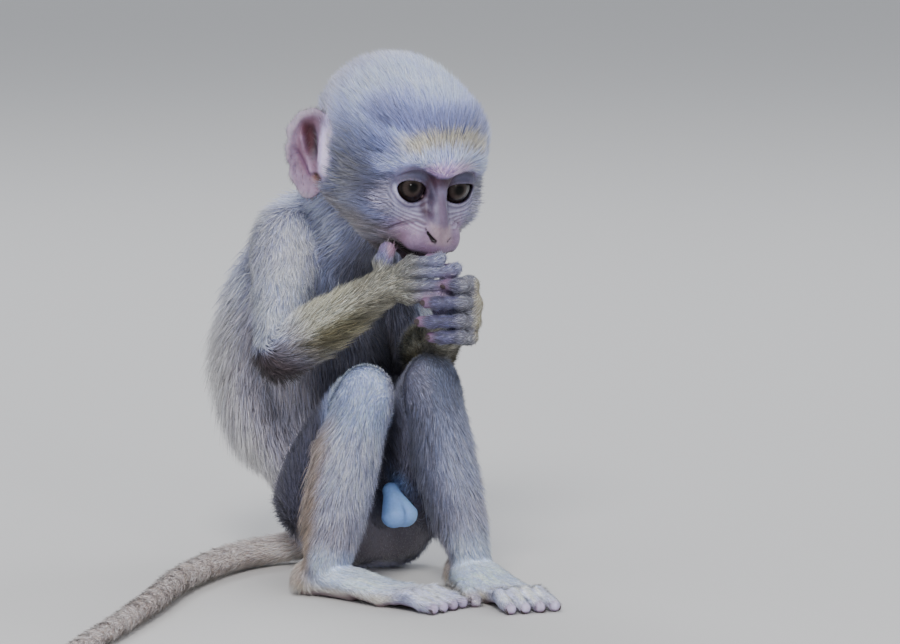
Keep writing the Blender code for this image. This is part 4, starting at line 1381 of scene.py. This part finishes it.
# share of tufts with dark tips, how much paler the other tips are, how dark the roots are, and how uneven
TICKED = {"head": 0.14, "trunk": 0.12, "arm": 0.26, "leg": 0.14, "tail": 0.08, "hand": 0.25}
STREAKY = {"hand": 1.6, "foot": 1.35, "arm": 1.15}
ROOTS = {"hand": 0.55, "foot": 1.0, "trunk": 0.8, "ear": 0.85}
UNEVEN = {"hand": 0.4, "foot": 0.36, "arm": 0.32, "trunk": 0.17}
CLUMP_MIX = np.array([73856093, 19349663, 83492791])   # large primes that give each clump its own number
SPIKE_FACES = np.array([(0, 2, 1), (1, 3, 0), (2, 3, 1), (0, 3, 2)])
BENT_FACES = np.array([(0, 2, 1), (1, 3, 0), (1, 4, 3), (2, 4, 1), (2, 5, 4), (0, 5, 2), (0, 3, 5),
                       (4, 6, 3), (5, 6, 4), (3, 6, 5)])


def scatter(rng):
    """Root points over the skin, as many on each face as its coat asks for."""
    a, b, c = skin_points[skin_faces].transpose(1, 0, 2)
    area = 0.5 * np.linalg.norm(np.cross(b - a, c - a), axis=1)
    want = skin_coat[skin_faces][:, :, DENSITY].mean(1) * area
    count = (want + rng.random(len(want))).astype(int)
    face = np.repeat(np.arange(len(count)), count)
    a, b = rng.random(len(face)), rng.random(len(face))
    flip = a + b > 1
    a[flip], b[flip] = 1 - a[flip], 1 - b[flip]
    share = np.stack([1 - a - b, a, b], 1)

    def spread(values):
        return np.einsum("nk,nkj->nj", share, values[skin_faces[face]])

    return (spread(skin_points), unit(spread(skin_out)), unit(spread(skin_lie)), spread(skin_coat),
            spread(skin_tint), skin_owner[skin_faces[face, 0]])


def raised(out, lie, angle):
    """Directions at an angle over the lie of the coat."""
    return lie * np.cos(angle)[:, None] + out * np.sin(angle)[:, None]


def gathered(tip, root, bent, pull):
    """Tips drawn a little towards the middle of their clump."""
    cell = np.floor((root + ripple(root, 5, 3)[:, None]) / np.where(bent, 2.6, 1.7)[:, None]).astype(np.int64)
    _, group = np.unique(cell @ CLUMP_MIX, return_inverse=True)
    members = np.bincount(group)[:, None]
    mean = np.stack([np.bincount(group, tip[:, a]) for a in range(3)], 1) / members
    return tip + (mean[group] - tip) * pull


def tufts(name, root, out, lie, size, tint, rng):
    """Joined closed tufts: each a flat spike, bent in the middle where it is long."""
    count, part = len(root), name.split("_")[0]
    sway = np.radians(11) * ripple(root, 6, 21) + np.radians(9) * rng.normal(size=count)
    lie = raised(np.cross(out, lie), lie, sway)
    side = np.cross(out, lie)
    length = size[:, LENGTH] * rng.uniform(0.72, 1.18, count)
    lift = np.radians(np.maximum(size[:, LIFT] * (1 + 0.35 * rng.normal(size=count)), LEAST_LIFT))
    bent = length > LONG
    half = (length * 0.5)[:, None]
    root = root - out * ROOT_DEPTH
    middle = root + raised(out, lie, lift * 1.35) * half
    tip = np.where(bent[:, None], middle + raised(out, lie, lift * 0.6) * half,
                   root + raised(out, lie, lift) * length[:, None])
    tip = gathered(tip, root, bent, 0.1 if part == "tail" else 0.33)
    tip[:, 2] = np.maximum(tip[:, 2], LOWEST_TIP)
    middle[:, 2] = np.maximum(middle[:, 2], 2 * LOWEST_TIP)
    width = size[:, WIDTH] * rng.uniform(0.75, 1.25, count)
    across = side * (width * 0.5)[:, None]
    rise = out * (width * 0.4)[:, None]
    dark = rng.random(count) < TICKED.get(part, 0.1)
    value = np.exp(UNEVEN.get(part, 0.24) * rng.normal(size=count))
    warm = 1 + 0.05 * rng.normal(size=(count, 1)) * vec(1, 0.2, -1)
    base = tint * (value * ROOTS.get(part, 0.7))[:, None] * warm
    end = tint * (value * np.where(dark, DARK_TIP, PALE_TIP * STREAKY.get(part, 1.0)))[:, None] * warm
    end = np.clip(end, 0.002, 0.95)
    to_side = side * 0.35 * rng.normal(size=(count, 1))
    facing = unit(out + to_side + lie * (0.15 + 0.2 * rng.normal(size=(count, 1))))
    between, half_way, at_tip = (base + end) * 0.5, unit(facing + 0.3 * lie), unit(facing + 0.7 * lie)
    corners = ((-across, -1), (across, 1), (rise, 0))   # of a section, and their places on the patch
    at_root = [(root + corner, base, facing, (u, -1)) for corner, u in corners]
    at_bend = [(middle + corner * 0.8, between, half_way, (u, 0)) for corner, u in corners]
    at_end = [(tip, end, at_tip, (0, 1))]
    around, along, _, total = unwrap(name, root)
    home = MAP_EDGE + (1 - 2 * MAP_EDGE) * np.stack([around, along / total], 1)
    results = [[], [], [], [], []]
    start = 0
    kinds = ((~bent, at_root + at_end, SPIKE_FACES), (bent, at_root + at_bend + at_end, BENT_FACES))
    for chosen, rows, pattern in kinds:
        number = int(chosen.sum())
        places, colours, normals = (
            np.stack([row[k][chosen] for row in rows], 1).reshape(-1, 3) for k in range(3))
        faces = (pattern + start + len(rows) * np.arange(number)[:, None, None]).reshape(-1, 3)
        atlas = (home[chosen][:, None] + np.array([row[3] for row in rows]) * PATCH).reshape(-1, 2)
        start += len(rows) * number
        for result, part_result in zip(results, (places, faces, colours, normals, atlas)):
            result.append(part_result)
    return [np.concatenate(result) for result in results]


def add_tufts(piece_name, made, material):
    """A coat piece with its own normals and its map of root places."""
    points, faces, colours, normals, atlas = made
    piece = make_mesh(piece_name, points, faces)
    layer = piece.data.uv_layers.new(name="OFBake")
    layer.data.foreach_set("uv", atlas[faces.ravel()].astype(np.float32).ravel())
    piece.data.normals_split_custom_set_from_vertices(normals.astype(np.float32))
    dress(piece, colours, material)


def add_coat():
    """Coat pieces for each part, cut where one would have too many triangles."""
    rng = np.random.default_rng(7)
    root, out, lie, size, tint, part_of = scatter(rng)
    material = {"coat": surface_material("coat", 0.55, speckle=0.1, Sheen_Weight=0.25),
                "limb_coat": surface_material("limb_coat", 0.58, speckle=0.14, Sheen_Weight=0.2)}
    for number, name in enumerate(PARTS):
        mine = np.flatnonzero(part_of == number)
        if not len(mine):
            continue
        mine = mine[np.argsort(unwrap(name, root[mine])[0], kind="stable")]
        triangles = np.where(size[mine, LENGTH] > LONG * 0.95, len(BENT_FACES), len(SPIKE_FACES)).sum()
        pieces = int(np.ceil(triangles / MOST_TRIANGLES))
        slot = "limb_coat" if name.split("_")[0] in ("arm", "hand", "leg", "foot") else "coat"
        for count, chunk in enumerate(np.array_split(mine, pieces)):
            made = tufts(name, root[chunk], out[chunk], lie[chunk], size[chunk], tint[chunk], rng)
            add_tufts(f"coat_{name}" + (f"_{count + 1}" if pieces > 1 else ""), made, material[slot])


def lid_point(s, out, ahead, up):
    """A point of the row frame from its offsets in the axes of an eye's lids."""
    c, t = math.cos(EYE_SLANT[s]), math.sin(EYE_SLANT[s])
    away = vec(s * (out * c - up * t + 0.10 * ahead), -ahead, up * c + out * t - 0.04 * ahead)
    return face_point(*(EYE * vec(s, 1, 1) + away))


def lid_edge(s, angle, reach):
    """A place on a lid at an angle round its opening, with the way out of the face there."""
    wide, high, low = EYE_HALF[s]
    out, up = wide * math.cos(angle) * reach, (high if angle > 0 else low) * math.sin(angle) * reach
    ahead = math.sqrt((EYE_RADIUS + 0.9) ** 2 - out * out - up * up)
    place = lid_point(s, out, ahead, up)
    return place, unit(place - lid_point(s, 0, 0, 0)), unit(lid_point(s, out * 1.4, ahead, up * 1.4) - place)


LASHES = ((34, 18, 162, 1.7), (16, -150, -35, 0.9))   # how many, from angle to angle, and their length
FACE_HAIRS = (   # how many, span across and up, place ahead and bow, way out, lie, length, lift, width, shade
    (12, (4, 17), (1.5, 4.5), -27, 0.016, (0, -1, 0.35), (0.5, 0, 1), 5.5, 42, 0.09, 0.12),
    (26, (4, 13), (-27, -21), -36, 0.055, (0.6, -1, 0), (1, 0.3, -0.5), 3.6, 34, 0.07, 0.45),
    (16, (0.5, 7), (-37, -33), -30, 0, (0, -1, -0.4), (0.3, 0.2, -1), 3.2, 30, 0.07, 0.4))


def add_fine_hairs():
    """Lashes on every lid, brow hairs, and whiskers along the lips and chin."""
    rng = np.random.default_rng(17)
    rows = []   # root, way out, lie, length, lift, width, shade, and whether the root is still off the skin
    for s in SIGNS:
        angles = [(angle, length) for count, start, end, length in LASHES
                  for angle in np.radians(rng.uniform(start, end, count))]
        rows += [(*lid_edge(s, angle, 1.04), length, 38, 0.09, 0.05, False) for angle, length in angles]
        for count, wide, high, ahead, bow, out, lie, *rest in FACE_HAIRS:
            for _ in range(count):
                x, z = rng.uniform(*wide), rng.uniform(*high)
                root = face_point(s * x, ahead + bow * x * x, z)
                ways = [FACE_TURN @ (way * vec(s, 1, 1)) for way in (out, lie)]
                rows.append((root, *ways, *rest, True))
    root, out, lie, length, lift, width, shade, free = (np.array(column) for column in zip(*rows))
    root[free] = in_batches(settled_far, root[free])
    out = unit(out)
    out[free] = unit(in_batches(skin_slope, root[free]))
    lie = along_surface(lie, out)
    size = np.stack([length, lift, width, 0 * width], 1)
    made = tufts("head", root, out, lie, size, shade[:, None] * vec(1.0, 0.96, 1.0), rng)
    add_tufts("coat_lashes", made, surface_material("lashes", 0.5, speckle=0.1))


# ---------------------------------------------------------------- eyes and nails
PUPIL, IRIS = 0.17, 0.56                     # angles from the middle of the ball
CORNEA_RADIUS, CORNEA_AHEAD = 5.6, 2.67
GAZE = {-1: (-13.5, 15), 1: (-8, 9)}         # degrees round from straight ahead and up
EYE_RINGS, EYE_SPOKES = 90, 128
DROP_RINGS, DROP_SPOKES, DROP_RADIUS = 9, 14, 0.75
NAIL_RINGS, NAIL_SPOKES = 7, 12


def ball_angles(rings, spokes):
    """Angle from the pole and turn about it for each point of a ball, pole to pole."""
    tilt = np.linspace(0, math.pi, rings + 2)[1:-1]
    spin = np.arange(spokes) * 2 * math.pi / spokes
    return (np.concatenate([[0], np.repeat(tilt, spokes), [math.pi]]),
            np.concatenate([[0], np.tile(spin, rings), [0]]))


def ball_faces(rings, spokes):
    """Triangles of a closed ball of rings and spokes with two poles."""
    faces = []
    for r in range(rings - 1):
        for k in range(spokes):
            a, b = 1 + r * spokes + k, 1 + r * spokes + (k + 1) % spokes
            faces += [(a, a + spokes, b + spokes), (a, b + spokes, b)]
    for k in range(spokes):
        last = 1 + (rings - 1) * spokes
        faces += [(0, 1 + k, 1 + (k + 1) % spokes), (last + spokes, last + (k + 1) % spokes, last + k)]
    return np.array(faces)


def unit_ball(rings, spokes):
    """Points of a ball of radius one about +Z."""
    t, p = ball_angles(rings, spokes)
    return np.stack([np.sin(t) * np.cos(p), np.sin(t) * np.sin(p), np.cos(t)], 1)


def eye_colour(t, p, up):
    """Dark ball, brown iris with fibres, paler below with painted light, and black pupil; t is the angle from
    its middle.
    """
    fibre = sum(np.sin(p * n + o) for n, o in ((31, 0.4), (47, 2.1), (73, 1.2), (22, 0.9))) / 4
    iris = mixed(tone(44, 37, 36), tone(58, 50, 47), 0.5 + 0.5 * fibre)
    iris = painted(
        # painted light on the lower half of the iris
        iris * (1 + 0.45 * step(-up, -0.1, 0.6))[:, None],
        (tone(18, 14, 14), step(t, IRIS - 0.14, IRIS)),
        (tone(24, 19, 18), fall(t, PUPIL, PUPIL + 0.16)))
    return painted(
        tone(30, 24, 23),
        (iris, fall(t, IRIS - 0.02, IRIS + 0.05)),
        (tone(2, 2, 3), fall(t, PUPIL - 0.015, PUPIL + 0.015)))


def add_eye(side, s):
    """A ball with a raised clear front, dark brown iris and black pupil, and its tear duct."""
    round_, up_ = (math.radians(angle) for angle in GAZE[s])
    flat = math.cos(up_)
    forward = vec(math.sin(round_) * flat, -math.cos(round_) * flat, math.sin(up_)) @ FACE_TURN.T
    level = unit(np.cross(vec(0, 0, 1), forward))
    high = np.cross(forward, level)
    t, p = ball_angles(EYE_RINGS, EYE_SPOKES)
    inside = np.maximum(CORNEA_RADIUS ** 2 - (CORNEA_AHEAD * np.sin(t)) ** 2, 0)
    cap = CORNEA_AHEAD * np.cos(t) + np.sqrt(inside)
    radius = smooth_max(np.full(len(t), EYE_RADIUS), np.where(t < 1.5, cap, 0), 0.12)
    aside = np.cos(p)[:, None] * level + np.sin(p)[:, None] * high
    ray = np.cos(t)[:, None] * forward + np.sin(t)[:, None] * aside
    ball = face_point(*(EYE * vec(s, 1, 1))) + ray * radius[:, None]
    wide = EYE_HALF[s][0] - 0.9
    duct = lid_point(s, -wide, math.sqrt(EYE_RADIUS ** 2 - wide ** 2) + 0.1, -0.5)
    drop = duct + unit_ball(DROP_RINGS, DROP_SPOKES) * DROP_RADIUS
    drop_faces = ball_faces(DROP_RINGS, DROP_SPOKES) + len(ball)
    faces = np.concatenate([ball_faces(EYE_RINGS, EYE_SPOKES), drop_faces])
    colour = np.concatenate([eye_colour(t, p, ray[:, 2]), np.tile(tone(104, 84, 90), (len(drop), 1))])
    eye = make_mesh("eye_ball_" + side, np.concatenate([ball, drop]), faces)
    material = surface_material(
        "eye_" + side, 0.3, speckle=0.05, Coat_Weight=1.0, Coat_IOR=1.22, Specular_IOR_Level=0.02)
    dress(eye, colour, material)
    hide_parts("eye_" + side)


def add_nails():
    """Small curved plates over the last joint of every finger and toe."""
    ball, grid = unit_ball(NAIL_RINGS, NAIL_SPOKES), ball_faces(NAIL_RINGS, NAIL_SPOKES)
    points, faces = [], []
    for s in SIGNS:
        digits, thumb = finger_joints(s)
        toes, big = toe_joints(s)
        rows = [(d[-3:], 1.9) for d in digits] + [([thumb[0] - (thumb[1] - thumb[0]), *thumb], 2.2)]
        rows += [(t[-3:], 2.0) for t in toes] + [(big[-3:], 2.3)]
        for (a, b, c), radius in rows:
            along = unit(c - b)
            back = b - (a + c) / 2
            if np.linalg.norm(back) < 0.3:
                back = turned(0, -1, 0.2)
            back = unit(back - along * (back @ along))
            across = np.cross(along, back)
            size = ball * vec(radius * 0.62, radius * 0.85, 0.42)
            size[:, 2] -= 0.16 * size[:, 0] ** 2
            centre = c + back * radius * 0.86 + along * 0.25
            points.append(centre + size @ np.stack([across, along, back]))
            faces.append(grid + len(ball) * len(faces))
    nails = make_mesh("nails", np.concatenate(points), np.concatenate(faces))
    material = surface_material("nail", 0.35, [(900, 0.00005, None)], speckle=0.2)
    dress(nails, np.tile(tone(66, 56, 58), (len(nails.data.vertices), 1)), material)


add_coat()
for side, sign in SIDES.items():
    add_eye(side, sign)
add_nails()
add_fine_hairs()

# ---------------------------------------------------------------- camera and light
CAMERA_AZIMUTH = math.radians(-30)
CAMERA_ELEVATION = math.radians(7)
CAMERA_DISTANCE = 2.2
VIEW_WIDTH = 0.324
AIM = Vector((0.0066, -0.0483, 0.0965))
LAMPS = (   # name, place, size, power, colour
    ("key", (-0.85, -1.15, 1.25), 0.5, 24.5, (1.0, 0.985, 0.97)),
    ("front", (-0.20, -2.05, 0.40), 0.23, 7.6, (1.0, 0.99, 0.98)),
    ("fill", (1.5, 0.1, 1.0), 1.0, 7.6, (0.93, 0.96, 1.0)),
    ("rim", (0.2, 1.2, 1.4), 0.8, 14, (0.95, 0.97, 1.0)))


def add_camera():
    """A long lens in front of the animal, a little to its right."""
    level, up = math.cos(CAMERA_ELEVATION), math.sin(CAMERA_ELEVATION)
    back = Vector((math.sin(CAMERA_AZIMUTH) * level, -math.cos(CAMERA_AZIMUTH) * level, up))
    data = bpy.data.cameras.new("camera")
    data.sensor_width = 36
    data.lens = data.sensor_width * CAMERA_DISTANCE / VIEW_WIDTH
    data.clip_start = 0.01
    camera = bpy.data.objects.new("camera", data)
    camera.location = AIM + back * CAMERA_DISTANCE
    camera.rotation_euler = (-back).to_track_quat("-Z", "Y").to_euler()
    bpy.context.scene.collection.objects.link(camera)
    bpy.context.scene.camera = camera


def add_lamp(name, place, size, power, colour):
    """A soft lamp that looks at the animal; the fill makes no highlights."""
    data = bpy.data.lights.new(name, "AREA")
    data.shape = "DISK"
    data.size = size
    data.energy = power
    data.color = colour
    lamp = bpy.data.objects.new(name, data)
    lamp.location = place
    lamp.rotation_euler = (AIM - Vector(place)).to_track_quat("-Z", "Y").to_euler()
    lamp.visible_glossy = name != "fill"
    bpy.context.scene.collection.objects.link(lamp)


def add_stage():
    """A plain pale floor and even surroundings."""
    bpy.ops.mesh.primitive_plane_add(size=14, location=(0, 0, 0))
    floor = bpy.context.object
    floor.name = "floor"
    material = bpy.data.materials.new("floor")
    material.use_nodes = True
    set_inputs(material.node_tree.nodes["Principled BSDF"], Base_Color=(0.55, 0.54, 0.53, 1), Roughness=0.9)
    floor.data.materials.append(material)
    world = bpy.data.worlds.new("studio")
    world.use_nodes = True
    set_inputs(world.node_tree.nodes["Background"], Color=(0.79, 0.83, 0.90, 1), Strength=0.84)
    bpy.context.scene.world = world


add_camera()
add_stage()
for lamp_values in LAMPS:
    add_lamp(*lamp_values)
